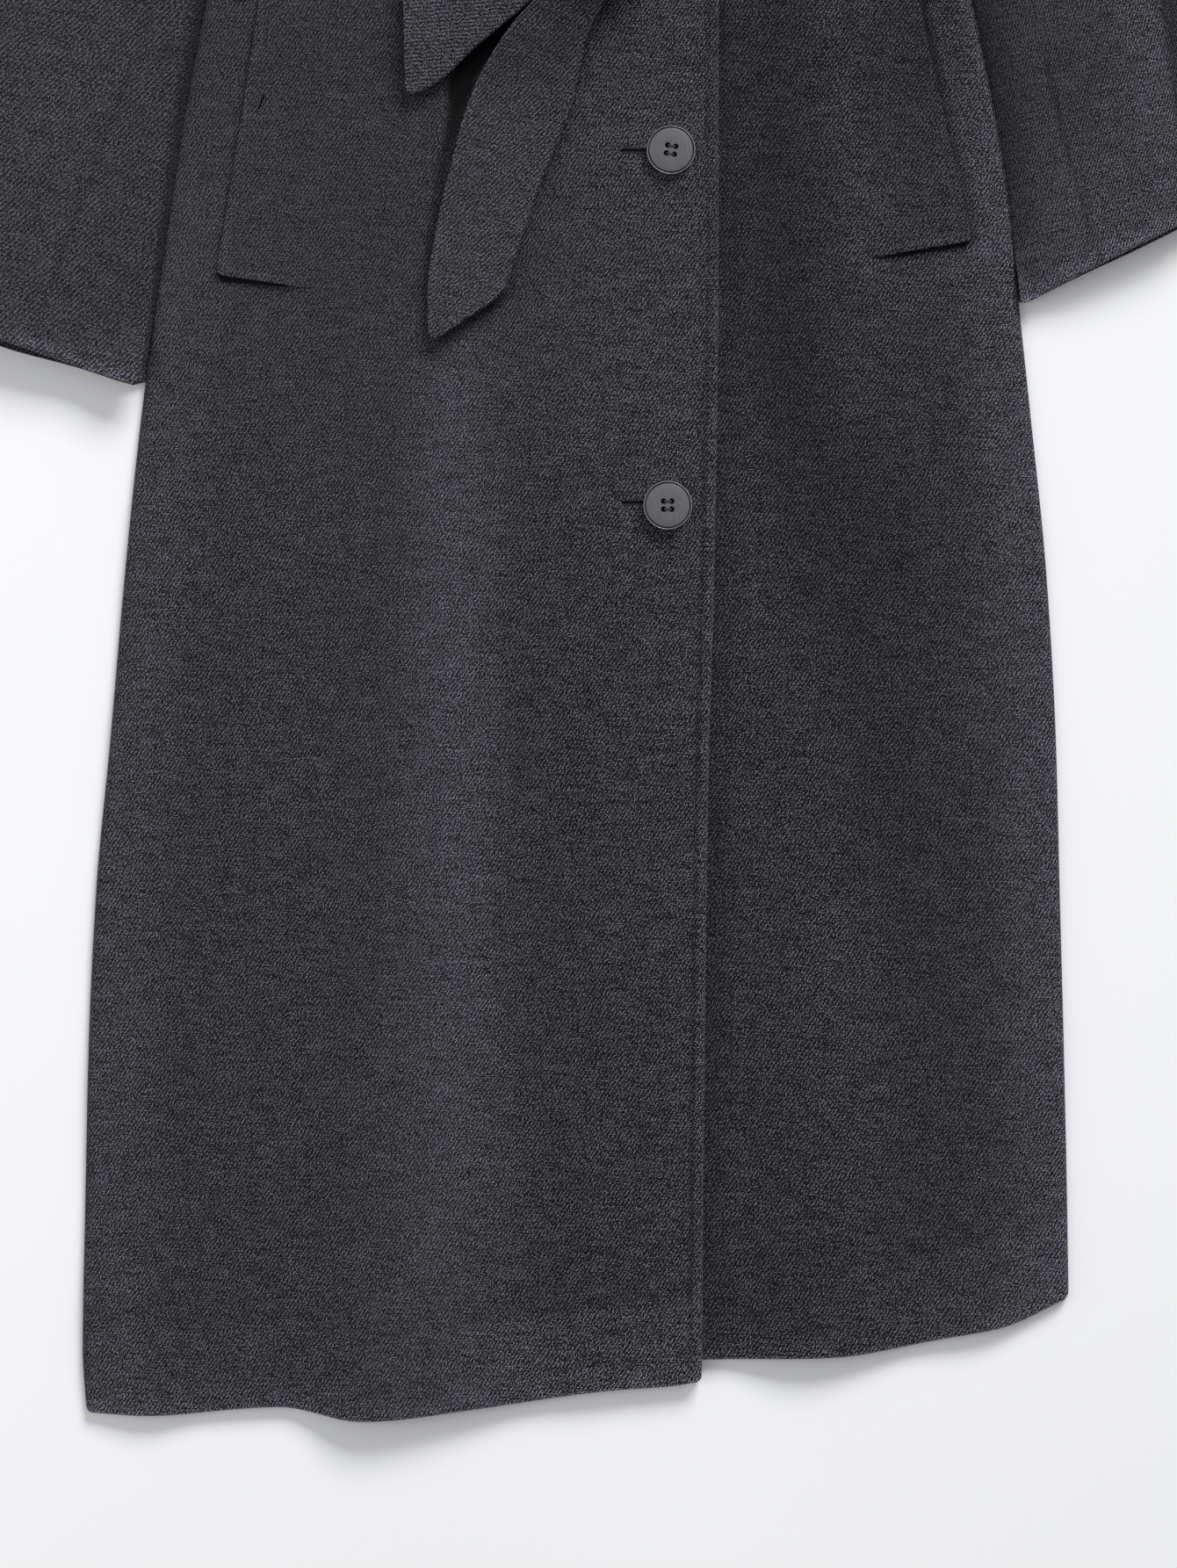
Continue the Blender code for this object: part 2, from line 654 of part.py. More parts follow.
def button(name, x, drop):
    """A turned button with a raised rim, a groove inside it and four holes."""
    flat, groove, rim_in, rim_out = BUTTON_RIM_RADII
    profile = (
        (0, BUTTON_FACE),
        (flat, BUTTON_FACE),
        (groove, BUTTON_GROOVE),
        (rim_in, BUTTON_RIM_TOP),
        (rim_out, BUTTON_RIM_TOP),
        (BUTTON_RADIUS, BUTTON_FACE),
        (BUTTON_RADIUS, BUTTON_EDGE_LOW),
        (BUTTON_BASE_RADIUS, 0),
        (0, 0),
    )
    mesh = bpy.data.meshes.new(name)
    points = [(radius * MM, 0, height * MM) for radius, height in profile]
    mesh.from_pydata(points, [(i, i + 1) for i in range(len(points) - 1)], [])
    piece = finished(name, mesh, BUTTON_COLOUR, BUTTON_ROUGHNESS)
    piece.location = placed(x, drop, front_top(LEFT, x, drop) + EDGE_SEAM)
    turn = piece.modifiers.new("Turn", "SCREW")
    turn.steps = turn.render_steps = BUTTON_STEPS
    turn.use_merge_vertices = True
    turn.merge_threshold = 0.00001
    holes = bmesh.new()
    for across in (-1, 1):
        for up in (-1, 1):
            made = bmesh.ops.create_cone(
                holes,
                cap_ends=True,
                segments=BUTTON_HOLE_SIDES,
                radius1=BUTTON_HOLE_RADIUS * MM,
                radius2=BUTTON_HOLE_RADIUS * MM,
                depth=4 * BUTTON_RIM_TOP * MM,
            )
            half = BUTTON_HOLE_PITCH / 2 * MM
            bmesh.ops.translate(holes, verts=made["verts"], vec=(across * half, up * half, 0))
    cutter_mesh = bpy.data.meshes.new(name + "_holes")
    holes.to_mesh(cutter_mesh)
    holes.free()
    cutter = bpy.data.objects.new(name + "_holes", cutter_mesh)
    cutter.parent = frame
    cutter.location = piece.location
    cutter.hide_render = True
    cutter.hide_viewport = True
    coat.objects.link(cutter)
    cut = piece.modifiers.new("Holes", "BOOLEAN")
    cut.operation = "DIFFERENCE"
    cut.solver = "EXACT"
    cut.object = cutter


def knot():
    """The belt's knot: a soft block resting on the over front."""
    block = bmesh.new()
    bmesh.ops.create_cube(block, size=1)
    bmesh.ops.scale(block, verts=block.verts, vec=Vector(KNOT_SIZE) * MM)
    mesh = bpy.data.meshes.new("belt_knot")
    block.to_mesh(mesh)
    block.free()
    piece = finished("belt_knot", mesh, WOOL_COLOUR, WOOL_ROUGHNESS)
    rest = front_top(LEFT, KNOT_X + KNOT_SIZE[0] / 2, 0) + EDGE_SEAM
    piece.location = placed(KNOT_X, 0, rest + KNOT_SIZE[2] / 2)
    soft = piece.modifiers.new("Soft edges", "BEVEL")
    soft.width = KNOT_BEVEL * MM
    soft.segments = KNOT_BEVEL_SEGMENTS


def sided(point, side):
    return lambda column, row: point(side, column, row)


def centre_on_origin():
    """Moves the coat's frame so that the origin lies under the middle of its box."""
    bpy.context.view_layer.update()
    graph = bpy.context.evaluated_depsgraph_get()
    corners = []
    for piece in coat.objects:
        if not piece.hide_render:
            worn = piece.evaluated_get(graph)
            corners += [worn.matrix_world @ Vector(corner) for corner in worn.bound_box]
    for axis in (0, 1):
        values = [corner[axis] for corner in corners]
        frame.location[axis] -= (min(values) + max(values)) / 2


for old in list(bpy.data.objects):
    bpy.data.objects.remove(old)

coat = bpy.data.collections.new("belted_coat")
bpy.context.scene.collection.children.link(coat)
frame = bpy.data.objects.new("coat_frame", None)
bpy.context.scene.collection.objects.link(frame)

cloth("back_panel", BACK_COLUMNS, len(BODY_ROWS) - 1, back_point, CLOTH, -1)
cloth("belt_back", 1, 1, belt_back_point, BELT_CLOTH, -1)
for side, front, word in ((LEFT, "over", "left"), (RIGHT, "under", "right")):
    body = len(BODY_ROWS) - 1
    cloth("front_" + front, FRONT_COLUMNS, body, sided(front_point, side), CLOTH, -1)
    cloth("lapel_" + front, LAPEL_COLUMNS, LAPEL_ROWS, sided(lapel_point, side), CLOTH, 1)
    turns = len(COLLAR_SHARES) - 1
    cloth("collar_" + word, COLLAR_COLUMNS, turns, sided(collar_point, side), CLOTH, 1)
    arm = len(SLEEVE_SHARES) - 1
    top_columns = SLEEVE_COLUMNS + 2 * ROLL_STEPS
    cloth("sleeve_" + word + "_top", top_columns, arm, sided(sleeve_top_point, side), CLOTH, -1)
    cloth("sleeve_" + word + "_under", SLEEVE_COLUMNS, arm, sided(sleeve_under_point, side), CLOTH, -1)
    cloth("welt_" + word, WELT_COLUMNS, WELT_ROWS, sided(welt_point, side), WELT_CLOTH, 1)
    stretch = sided(belt_front_point, side)
    cloth("belt_front_" + word, BELT_COLUMNS, BELT_ROWS, stretch, BELT_CLOTH, 1)
    cloth("loop_" + word, 1, len(LOOP_ROWS) - 1, sided(loop_point, side), LOOP_CLOTH, 1)
for word, rows in (("upper", TAIL_UPPER), ("lower", TAIL_LOWER)):
    lie = lambda column, row, rows=rows: tail_point(rows, column, row)
    cloth("belt_tail_" + word, TAIL_COLUMNS, TAIL_ROWS, lie, BELT_CLOTH, 1)
for name, (x, drop) in BUTTON_PLACES.items():
    button(name, x, drop)
knot()
centre_on_origin()
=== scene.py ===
"""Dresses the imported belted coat: a long wool coat lying flat on its back, buttoned, with its belt tied.

Sizes are in millimetres, in the coat's own frame: x to the viewer's right, and a drop is a distance
below the belt line, so y is minus the drop. They are turned into metres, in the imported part's frame,
where a mesh is made. Side -1 is the viewer's left, whose front laps over the other.
"""

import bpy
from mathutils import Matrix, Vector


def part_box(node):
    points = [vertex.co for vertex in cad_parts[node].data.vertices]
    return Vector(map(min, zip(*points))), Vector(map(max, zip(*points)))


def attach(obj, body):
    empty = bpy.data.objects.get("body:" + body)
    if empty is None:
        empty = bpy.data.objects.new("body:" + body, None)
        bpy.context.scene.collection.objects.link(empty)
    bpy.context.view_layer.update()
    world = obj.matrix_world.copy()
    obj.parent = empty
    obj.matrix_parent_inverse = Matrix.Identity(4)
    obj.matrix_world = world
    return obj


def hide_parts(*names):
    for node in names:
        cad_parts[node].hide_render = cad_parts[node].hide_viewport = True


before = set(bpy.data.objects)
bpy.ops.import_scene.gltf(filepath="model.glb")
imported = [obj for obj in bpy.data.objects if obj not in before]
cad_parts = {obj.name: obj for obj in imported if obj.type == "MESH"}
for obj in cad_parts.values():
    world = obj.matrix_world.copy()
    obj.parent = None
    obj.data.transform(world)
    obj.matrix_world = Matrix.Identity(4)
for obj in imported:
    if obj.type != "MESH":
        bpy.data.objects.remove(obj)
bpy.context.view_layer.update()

import math
from collections import namedtuple

import bmesh
import bpy
import numpy as np
from mathutils import Vector

MM = 0.001
LEFT = -1
RIGHT = 1
BODY = "root"


def table(kind, *rows):
    """Rows of numbers as named rows of one kind."""
    return tuple(kind(*row) for row in rows)


# The photograph's frame, and the coat's place in it.
PHOTO_HEIGHT = 956.2
PHOTO_CENTRE_DROP = 521
CAMERA_HEIGHT = 2600
SENSOR = 36

# Cloth walls, layers and small gaps.
WALL = 2.2
BELT_WALL = 3
LOOP_WALL = 1.5
SEAM = 0.3
BELT_SEAM = 0.5
LAYER = 2.9
FLOOR_GAP = 1.2
BACK_TOP = 2.6
FRONT_TOP = 5.7
RIM = 0.8
BELT_RIM = 1.3
LOOP_RIM = 0.5
RIM_SEGMENTS = 3
RIM_ANGLE = 50
THIN_LEAST = 0.06

# Grid steps, and about how long the runs are that they part.
FINE = 4.2
FINE_ACROSS = 2.8
BODY_STEP = 5.4
PLAIN = 9
TURN_STEPS = 7
FRONT_WIDTH = 300
BACK_WIDTH = 560
BACK_HEM_RUN = 190
BACK_ARM_RUN = 170
SLEEVE_WIDTH = 150
UNDER_SLEEVE_WIDTH = 160
FACING_WIDTH = 90
LAPEL_LENGTH = 280
COLLAR_LENGTH = 250
BELT_LENGTH = 200
TAIL_WIDTH = 56

# Soft rolls at the edges of the panels.
SIDE_ROLL = {LEFT: 6.5, RIGHT: 9}
HEM_ROLL = 2.8
HEM_CURL = 4.6
SHOULDER_ROLL = 5.2
FRONT_EDGE_ROLL = 2.7
FRONT_EDGE_COLUMNS = (16, 13.5, 11.5, 10, 9, 8.2, 7.5, 6.8, 6, 5, 4)
UNDER_INSET = 7.2
BACK_INSET_FADE = 6
TUCK = 3.5
TUCK_TOP = 3.1
TUCK_FADE = 24
ARMPIT_FADE = 3.3

# Body outline: half widths from the middle line, by drop.
Side = namedtuple("Side", "drop left right")
SIDES = table(
    Side, (-205, 250, 250), (-110, 238, 238), (0, 225, 225), (43, 233, 232.5), (107, 245.5, 246),
    (171, 255.5, 256), (300, 273.5, 270.5), (396, 283.5, 280), (493, 292, 285.5), (590, 301, 288),
    (686, 305.5, 290.5), (782, 307.5, 292.5), (866, 309, 293.5), (905, 306.6, 293.5),
)
ARMPIT_RISE = 205
SHOULDER_RISE = 378
SHOULDER_HALF = 213
NECK_RISE = 404
NECK_HALF = 80
NECK_SCOOP = 16
ARMHOLE_BOW = 6
SHOULDER_LEAN = 0.056

# Hems, by the distance across from the middle line.
Hem = namedtuple("Hem", "x drop")
HEM_OVER = table(
    Hem, (-306.6, 904.8), (-271, 906.7), (-189, 901.6), (-140, 909.6), (-66, 902), (12, 891.4), (50, 888.6),
    (69, 885.6),
)
HEM_UNDER = table(Hem, (15, 874.5), (70, 872.7), (147, 871), (219, 859.3), (253, 852.8), (293.6, 834.6))
HEM_BACK = (Hem(-304, 888), Hem(294, 822))
HEM_ZONE_TOP = 700
HEM_TURN_UP = 51
HEM_LINE_DEPTH = 0.45
HEM_LINE_HALF = 3
HEM_CORNER = 4
# Painted highlight along the hem, strongest on its rolled edge; painted shade a little above the turned-up
# band; and the turned-up band made lighter or darker by the distance across.
HEM_SHINE = {LEFT: 0.75, RIGHT: 0.5}
HEM_SHINE_REACH = 7
HEM_EDGE_SHINE = 2.4
HEM_EDGE_REACH = 3
HEM_LINE_SHADE = 0.04
HEM_SHADE_UP = 9
HEM_SHADE_HALF = 15
HemTone = namedtuple("HemTone", "x shift")
HEM_TONES = {
    LEFT: table(
        HemTone, (-306, 0.1), (-240, 0.1), (-165, 0.02), (-100, 0.05), (-30, 0.28), (30, 0.22), (70, 0.18),
    ),
    RIGHT: (HemTone(15, 0), HemTone(110, 0), HemTone(175, 0.09), HemTone(240, 0.17), HemTone(293, 0.17)),
}

# The front edges below the break of the lapels, and the roll lines above it.
Edge = namedtuple("Edge", "drop x")
OVER_EDGE = table(Edge, (-62, 77), (43, 79.3), (204, 79.3), (391, 76.6), (525, 73), (739, 70.2), (886, 69))
UNDER_EDGE_X = 21
BREAK_RISE = 62
EDGE_BAND = 7.5
EDGE_BAND_LIFT = 0.7
EDGE_BAND_FALL = 1.6
EDGE_CLEAR = 0.3
EDGE_LINE_DEPTH = 0.5
EDGE_LINE_HALF = 2.4
# Painted shade along the pressed line of the over front's edge band, weaker higher up, and a painted
# highlight on the band, which turns to a little painted shade higher up.
EDGE_SHADE = 0.32
EDGE_SHADE_HALF = 3.2
EDGE_SHADE_HIGH = 0.5
EDGE_SHINE = 0.14
EDGE_SHINE_HIGH = -0.12
EDGE_SHINE_TOP = 200
EDGE_SHINE_RUN = 200

# How the belt's back stretch lifts the panels, and how the over front climbs on the under front.
BELT_HALF = 27
BELT_LIFT = 3.5
LIFT_REST = 30
LIFT_FADE = 80
CLIMB_START = 78
CLIMB_END = 8

# Soft folds of the fronts: crest and reaches across, and height, by drop.
Fold = namedtuple("Fold", "drop crest left_reach right_reach height")
FOLDS = {
    LEFT: (
        table(
            Fold, (200, -90, 26, 30, 0), (300, -88, 30, 34, 2), (500, -86, 40, 46, 3.6),
            (700, -80, 56, 62, 4.4), (905, -124, 62, 116, 9),
        ),
        table(
            Fold, (240, -238, 30, 22, 0), (480, -264, 34, 22, 2), (800, -276, 40, 26, 1.5),
            (912, -262, 48, 34, 2.4),
        ),
        table(
            Fold, (30, -152, 20, 24, 0), (62, -154, 22, 26, 1.8), (140, -160, 26, 30, 1),
            (230, -164, 30, 30, 0),
        ),
        table(
            Fold, (30, -108, 14, 18, 0), (70, -110, 16, 20, 1.6), (170, -114, 20, 22, 0.4),
            (220, -114, 20, 22, 0),
        ),
        table(
            Fold, (-240, -172, 34, 30, 0), (-130, -160, 26, 26, 1.3), (-62, -150, 18, 22, 2),
            (-30, -148, 16, 20, 0),
        ),
        table(Fold, (-170, -96, 22, 26, 0), (-70, -92, 15, 18, 1.6), (-30, -90, 14, 16, 0)),
    ),
    RIGHT: (
        table(
            Fold, (350, 114, 28, 30, 0), (470, 126, 34, 36, 2), (690, 150, 46, 46, 3),
            (870, 140, 66, 70, 6),
        ),
        table(
            Fold, (200, 222, 26, 24, 0), (400, 248, 44, 24, 2.4), (700, 252, 42, 28, 2.2),
            (850, 238, 46, 36, 1.8),
        ),
        table(
            Fold, (30, 152, 24, 28, 0), (64, 154, 26, 30, 2.2), (200, 172, 30, 30, 1.2),
            (330, 205, 30, 26, 0),
        ),
        table(
            Fold, (-250, 178, 30, 36, 0), (-120, 164, 24, 28, 1.5), (-60, 156, 20, 20, 2.1),
            (-30, 152, 18, 18, 0),
        ),
        table(Fold, (-150, 116, 18, 20, 0), (-66, 108, 13, 17, 1.4), (-30, 106, 13, 15, 0)),
    ),
}

# Painted light and shade in the wool's colour, by bands down the fronts: lighter on crests and on the lit
# sides of the coat, darker in hollows, in the shadows of the belt tails and beside the over front's edge.
PaintedBand = namedtuple("PaintedBand", "drop x left_reach right_reach shift")
PAINTED_BANDS = {
    LEFT: (
        table(
            PaintedBand, (190, -90, 18, 20, 0), (300, -88, 20, 24, 0.43), (480, -85, 26, 21, 0.55),
            (700, -82, 36, 25, 0.49), (860, -88, 44, 36, 0.27), (912, -94, 50, 40, 0.12),
        ),
        table(
            PaintedBand, (100, -235, 28, 20, 0), (300, -264, 30, 24, 0.31), (600, -290, 32, 24, 0.39),
            (912, -296, 32, 24, 0.35),
        ),
        # Painted shadow under the upper tail and along the lower tail's left edge.
        table(
            PaintedBand, (48, -42, 6, 8, -0.4), (64, -56, 7, 10, -1.5), (92, -79, 5.8, 10, -1.5),
            (110, -82, 4, 8, -1), (126, -85.5, 2.8, 7, -0.72), (146, -90, 2, 5, -0.42),
            (187, -97, 1.6, 4, -0.28), (226, -101, 1.5, 4, -0.14), (250, -101, 1.6, 4, 0),
        ),
        # Painted shadow under the lower tail's cut end.
        table(
            PaintedBand, (216, -42, 3, 5, 0), (226, -55, 3, 5.5, -0.6), (238, -73, 3, 5.5, -0.75),
            (248, -88, 3, 5.5, -0.6), (258, -95, 4, 6, -0.5), (268, -97, 4, 6, 0),
        ),
        table(
            PaintedBand, (300, 5, 40, 40, 0), (420, 5, 44, 40, -0.11), (700, 5, 48, 44, -0.12),
            (905, 0, 60, 50, -0.14),
        ),
        table(PaintedBand, (30, -145, 34, 36, -0.1), (200, -145, 34, 36, -0.09), (300, -150, 34, 36, 0)),
    ),
    RIGHT: (
        table(
            PaintedBand, (30, 110, 24, 28, -0.36), (150, 112, 26, 32, -0.41), (268, 124, 30, 36, -0.36),
            (364, 158, 36, 40, -0.36), (540, 180, 38, 40, -0.32), (700, 188, 40, 40, -0.22),
            (860, 186, 40, 40, -0.22),
        ),
        table(
            PaintedBand, (30, 118, 30, 40, -0.12), (400, 112, 26, 30, -0.22), (640, 110, 30, 34, -0.25),
            (870, 112, 30, 36, -0.28),
        ),
        table(
            PaintedBand, (20, 205, 30, 28, -0.34), (90, 205, 30, 28, -0.28), (180, 208, 30, 26, -0.04),
            (270, 205, 34, 26, -0.2), (350, 205, 34, 26, -0.17), (430, 210, 34, 26, 0),
        ),
        table(
            PaintedBand, (380, 122, 24, 28, 0), (510, 124, 24, 30, 0.1), (650, 142, 28, 32, 0.16),
            (780, 150, 34, 40, 0.06), (875, 150, 40, 40, 0),
        ),
        table(
            PaintedBand, (30, 230, 24, 16, 0.2), (300, 266, 24, 20, 0.36), (600, 284, 24, 20, 0.45),
            (860, 288, 24, 20, 0.4),
        ),
        # Painted shade on the under front beside the over front's edge.
        table(
            PaintedBand, (-62, 79, 8, 9, -0.2), (60, 80, 8, 9, -0.4), (204, 82, 8, 9, -0.3),
            (525, 76, 8, 11, -0.34), (886, 72, 8, 11, -0.3),
        ),
    ),
}

# Small unevenness of wool that has been worn and laid out: height, wavelength, direction and phase.
Ripple = namedtuple("Ripple", "height length turn phase")
RIPPLES = table(
    Ripple, (0.34, 236, 18, 0.4), (0.26, 151, 108, 2.1), (0.2, 97, 57, 4.4), (0.14, 61, 151, 1.2),
    (0.1, 43, 83, 5.3),
)

# Sleeves, from the cuff (0) to the shoulder (1): inner edge by drop, outer edge, and puff.
SleeveRow = namedtuple("SleeveRow", "share inner_drop outer_x outer_drop puff")
SLEEVES = {
    LEFT: table(
        SleeveRow, (0, 280, 436, 225, 11.5), (0.2, 130, 423, 85, 6), (0.4, 0, 395, -62, 3.4),
        (0.55, -110, 369, -162, 3), (0.7, -ARMPIT_RISE, 335, -250, 2.4), (0.85, -300, 289, -321, 1.6),
        (1, -SHOULDER_RISE, 229, -370.5, 0.4),
    ),
    RIGHT: table(
        SleeveRow, (0, 229, 414, 154, 11.5), (0.2, 95, 412, 22, 6), (0.4, -20, 392, -92, 3.4),
        (0.55, -118, 370, -175, 3), (0.7, -ARMPIT_RISE, 337, -256, 2.4), (0.85, -300, 290, -323, 1.6),
        (1, -SHOULDER_RISE, 229, -370.5, 0.4),
    ),
}
ARMPIT_SHARE = 0.7
SLEEVE_LENGTH = 640
SLEEVE_STEP = 2.5
SLEEVE_INNER_ROLL = {LEFT: 3.2, RIGHT: 16}
SLEEVE_OUTER_ROLL = 7
SLEEVE_CAP_ROLL = 4
SLEEVE_NARROW = 60
PUFF_ROUND = 0.8
SLEEVE_RIPPLE = 1.3
SLEEVE_RIPPLE_SHIFT = 90
SLEEVE_HEAD = 1.6
SLEEVE_HEAD_REACH = 26
CUFF_ROLL = 2.8
CUFF_LIP = 2.4
CUFF_CORNER_GAP = {LEFT: 16, RIGHT: 9}
CUFF_OUTER_GAP = 5
CUFF_GAP_FADE = 1.5
CUFF_LIFT_REACH = 54
CUFF_CORNER = {LEFT: 9, RIGHT: 4}
UNDER_CUFF_CORNER = {LEFT: 15, RIGHT: 10}
CUFF_SLIT = {LEFT: 2.8, RIGHT: 1.2}
CUFF_SLIT_START = 0.22
CUFF_SLIT_FADE = 3
CUFF_SLIT_REACH = 40
UNDER_CUFF_LIP = 0.8
UNDER_LIP_REACH = 14
CUFF_LINE = 32
UNDER_SLEEVE_REACH = 0.95
SLEEVE_GAP = 0.7
TUCK_END = 0.04
ARMHOLE_GAP = 0.05
Spot = namedtuple("Spot", "x drop")
SLEEVE_SEAMS = {
    LEFT: (Spot(-233, -60), Spot(-256, 20), Spot(-307, 162), Spot(-319, 195), Spot(-336, 245)),
    RIGHT: (Spot(243, -70), Spot(260, 20), Spot(282, 95), Spot(292, 141), Spot(305, 184), Spot(316, 216)),
}
SEAM_DEPTH = {LEFT: 0.5, RIGHT: 0.75}
SEAM_HALF = 2.5
# Painted shade along the sleeve seam, weaker higher up, and a painted highlight along the cuff's edge.
SEAM_SHADE = 0.75
SEAM_FADE = (60, 40, 0.3)
CUFF_SHINE = 1.6
CUFF_SHINE_REACH = 4.2
# Painted shade on each top sleeve beside the body: how far it reaches and how dark it is, at the cuff and up
# the arm.
Shade = namedtuple("Shade", "cuff_reach arm_reach cuff_dark arm_dark")
SLEEVE_SHADE = {LEFT: Shade(1.8, 10, 0.66, 0.66), RIGHT: Shade(19, 36, 0.05, 0.48)}
SLEEVE_SHADE_EDGE = 1.2
SLEEVE_SHADE_END = 0.3
SLEEVE_DARK_END = 0.22
# Painted light and shade on the sleeves: bands lighter on the lit side of a fold and darker on its far side.
SLEEVE_PAINTED_BANDS = {
    LEFT: (
        (PaintedBand(-60, 300, 24, 30, 0), PaintedBand(60, 322, 34, 36, 0.14), PaintedBand(200, 352, 40, 40, 0.1)),
    ),
    RIGHT: (
        (PaintedBand(-60, 328, 20, 6, 0), PaintedBand(40, 341, 20, 2, 0.28), PaintedBand(130, 354, 22, 2, 0.22)),
        (PaintedBand(-60, 342, 4, 18, 0), PaintedBand(40, 349, 2, 18, -0.55), PaintedBand(130, 361, 2, 18, -0.45)),
        table(
            PaintedBand, (20, 290, 24, 24, 0), (83, 292, 20, 22, -0.2), (120, 298, 22, 22, -0.04),
            (158, 304, 26, 26, 0.16), (205, 300, 34, 30, 0.24),
        ),
    ),
}
SLEEVE_FOLDS = {
    LEFT: (
        table(
            Fold, (-120, 300, 30, 34, 0), (0, 322, 32, 36, 1.8), (150, 372, 34, 30, 1.4),
            (240, 392, 34, 30, 0.6),
        ),
    ),
    RIGHT: (
        table(
            Fold, (-130, 318, 34, 30, 0), (0, 338, 42, 18, 3), (110, 350, 44, 15, 3.2),
            (200, 362, 40, 18, 1.6),
        ),
    ),
}

# Lapels and collar.
LAPEL_START_RISE = {LEFT: 68, RIGHT: 170}
LAPEL_START_WIDTH = 4
LAPEL_TIP_HALF = 150
LAPEL_TIP_RISE = 300
LAPEL_BOW = 9
TURN_RADIUS = 3.2
TURN_START = -60
TURN_END = 90
TURN_POINTS = 9
TURN_NARROW = 24
TURN_REST = 34
TURN_CENTRE = 1.6
GORGE_RISE = 362
GORGE_GAP = 0.8
NOTCH_SHARE = 0.62
CollarRow = namedtuple("CollarRow", "share gorge inner_half inner_rise outer_half outer_rise rest")
COLLAR = table(
    CollarRow, (0, 1, None, None, 149, 355, FRONT_TOP), (0.18, 0.5, None, None, 152, 387, FRONT_TOP),
    (0.36, 0, None, None, 138, 418, FRONT_TOP), (0.58, None, 72, 394, 106, 440, FRONT_TOP),
    (0.78, None, 42, 386, 56, 448, 4), (1, None, 0.04, 383, 0.04, 450, BACK_TOP),
)
FACING_STEP = 2.6

# Pocket welts: the outer edge from its top to its lower corner, and the slope of the lower end.
Welt = namedtuple("Welt", "top_half top_drop end_half end_drop width end_slope")
WELTS = {
    LEFT: Welt(199, 36, 227, 210.4, 58, 8.6),
    RIGHT: Welt(199.5, 36, 233.5, 190, 60, 10),
}
WELT_WALL = 1.5
WELT_SEAM = 0.15
WELT_BESIDE = (-0.05, 1.02)
WELT_VALLEY = {LEFT: 0.3, RIGHT: 0.8}
WELT_VALLEY_HALF = 5.5
WELT_VALLEY_OUT = 2
WELT_SHADE_OUT = 1
# Painted shade just outside a welt's outer edge; the welt's darker tone; the share of the front's painted
# light and shade that a welt takes; a painted highlight on its lip.
WELT_SHADE = {LEFT: 0.04, RIGHT: 0.5}
WELT_TONE = {LEFT: -0.03, RIGHT: -0.23}
WELT_PAINTED_SHARE = 0.5
WELT_LIP_SHINE = 0.14
WELT_STEP = 1.6
WELT_LIP = 5
WELT_LIP_FALL = 1.5
WELT_LIP_LIFT = {LEFT: 0.2, RIGHT: 0.55}
WELT_LINE_DEPTH = 0.45
WELT_LINE_HALF = 1.9
WELT_LINE_END = 6
WELT_END_LIFT = 0.8
WELT_END_REACH = 34
WELT_END_ACROSS = (0.35, 0.9)
WELT_FEATHER = 20
WELT_CORNER = 4.5
WELT_TUCK = 1
GAP_LIFT = 0.3
GAP_WALL = 0.2
GAP_START = 0.012
GAP_ENDS = (16, 14)
GAP_LEAST = 0.1
GAP_ROWS = 6
# How dark the sheet under a welt's open end is painted: painted shadow inside the pocket.
GAP_SHADE = {LEFT: 0.86, RIGHT: 0.94}
Gap = namedtuple("Gap", "width share even")
WELT_GAPS = {LEFT: Gap(4, 0.76, 0.3), RIGHT: Gap(2.6, 0.99, 0.75)}
TACK = (Edge(101.6, -197.9), Edge(109.2, -200.7))
TACK_LIFT = 0.3

# Buttons and buttonholes.
BUTTON_PLACES = {"button_upper": (50.2, 135.2, 10), "button_lower": (48.2, 351.4, 0)}
BUTTON_SIDES = 96
BUTTON_HOLE_RADIUS = 1.7
BUTTON_HOLE_PITCH = 4.9
HOLE_SIDES = 32
HOLE_DEPTH = 12
HOLE_RIM = 0.22
HOLE_RIM_SEGMENTS = 2
HOLE_RIM_ANGLE = 60
BUTTON_GAP = 1
# How deep the near-black beads of painted shade sit in the button holes.
HOLE_SHADE_SINK = 1.3
BAR_SPREAD = 0.3
BAR_POINTS = 9
BAR_RISE = 0.35
BAR_DIP = 1.6
BAR_BEND = 4
# Half the length of each near-black bead's path of painted shade in the button holes.
HOLE_SHADE_HALF = 0.2
BUTTON_GROOVE_RADIUS = 13.15
BUTTON_RIM_RADIUS = 14.05
Turned = namedtuple("Turned", "radius height")
BUTTON_PROFILE = table(
    Turned, (0, 2.5), (6, 2.55), (12.8, 2.75), (13.2, 2.6), (13.3, 1.5), (14, 1.5), (14.15, 2.5),
    (14.3, 2.85), (14.45, 2.95), (14.62, 2.8), (14.78, 2.4), (14.85, 2), (14.7, 1.4), (14.3, 0.7),
    (13.6, 0.2), (13, 0), (0, 0),
)
BUTTONHOLES = {"button_upper": (20.5, 38, 135), "button_lower": (21, 37, 349.4)}
BUTTONHOLE_HALF = 0.8
BUTTONHOLE_STEP = 1
BUTTONHOLE_LIP = 0.5
LIP_LIFT = 0.1
SLIT_LIFT = 0.2

# Stitches: how far apart they are, and the size of each bead of thread.
Stitch = namedtuple("Stitch", "pitch length width height")
WELT_STITCH = Stitch(3.4, 2.5, 0.5, 0.4)
TACK_STITCH = Stitch(0.6, 1.4, 1.3, 0.5)
BAR_STITCH = Stitch(0.3, 0.7, 0.5, 0.5)
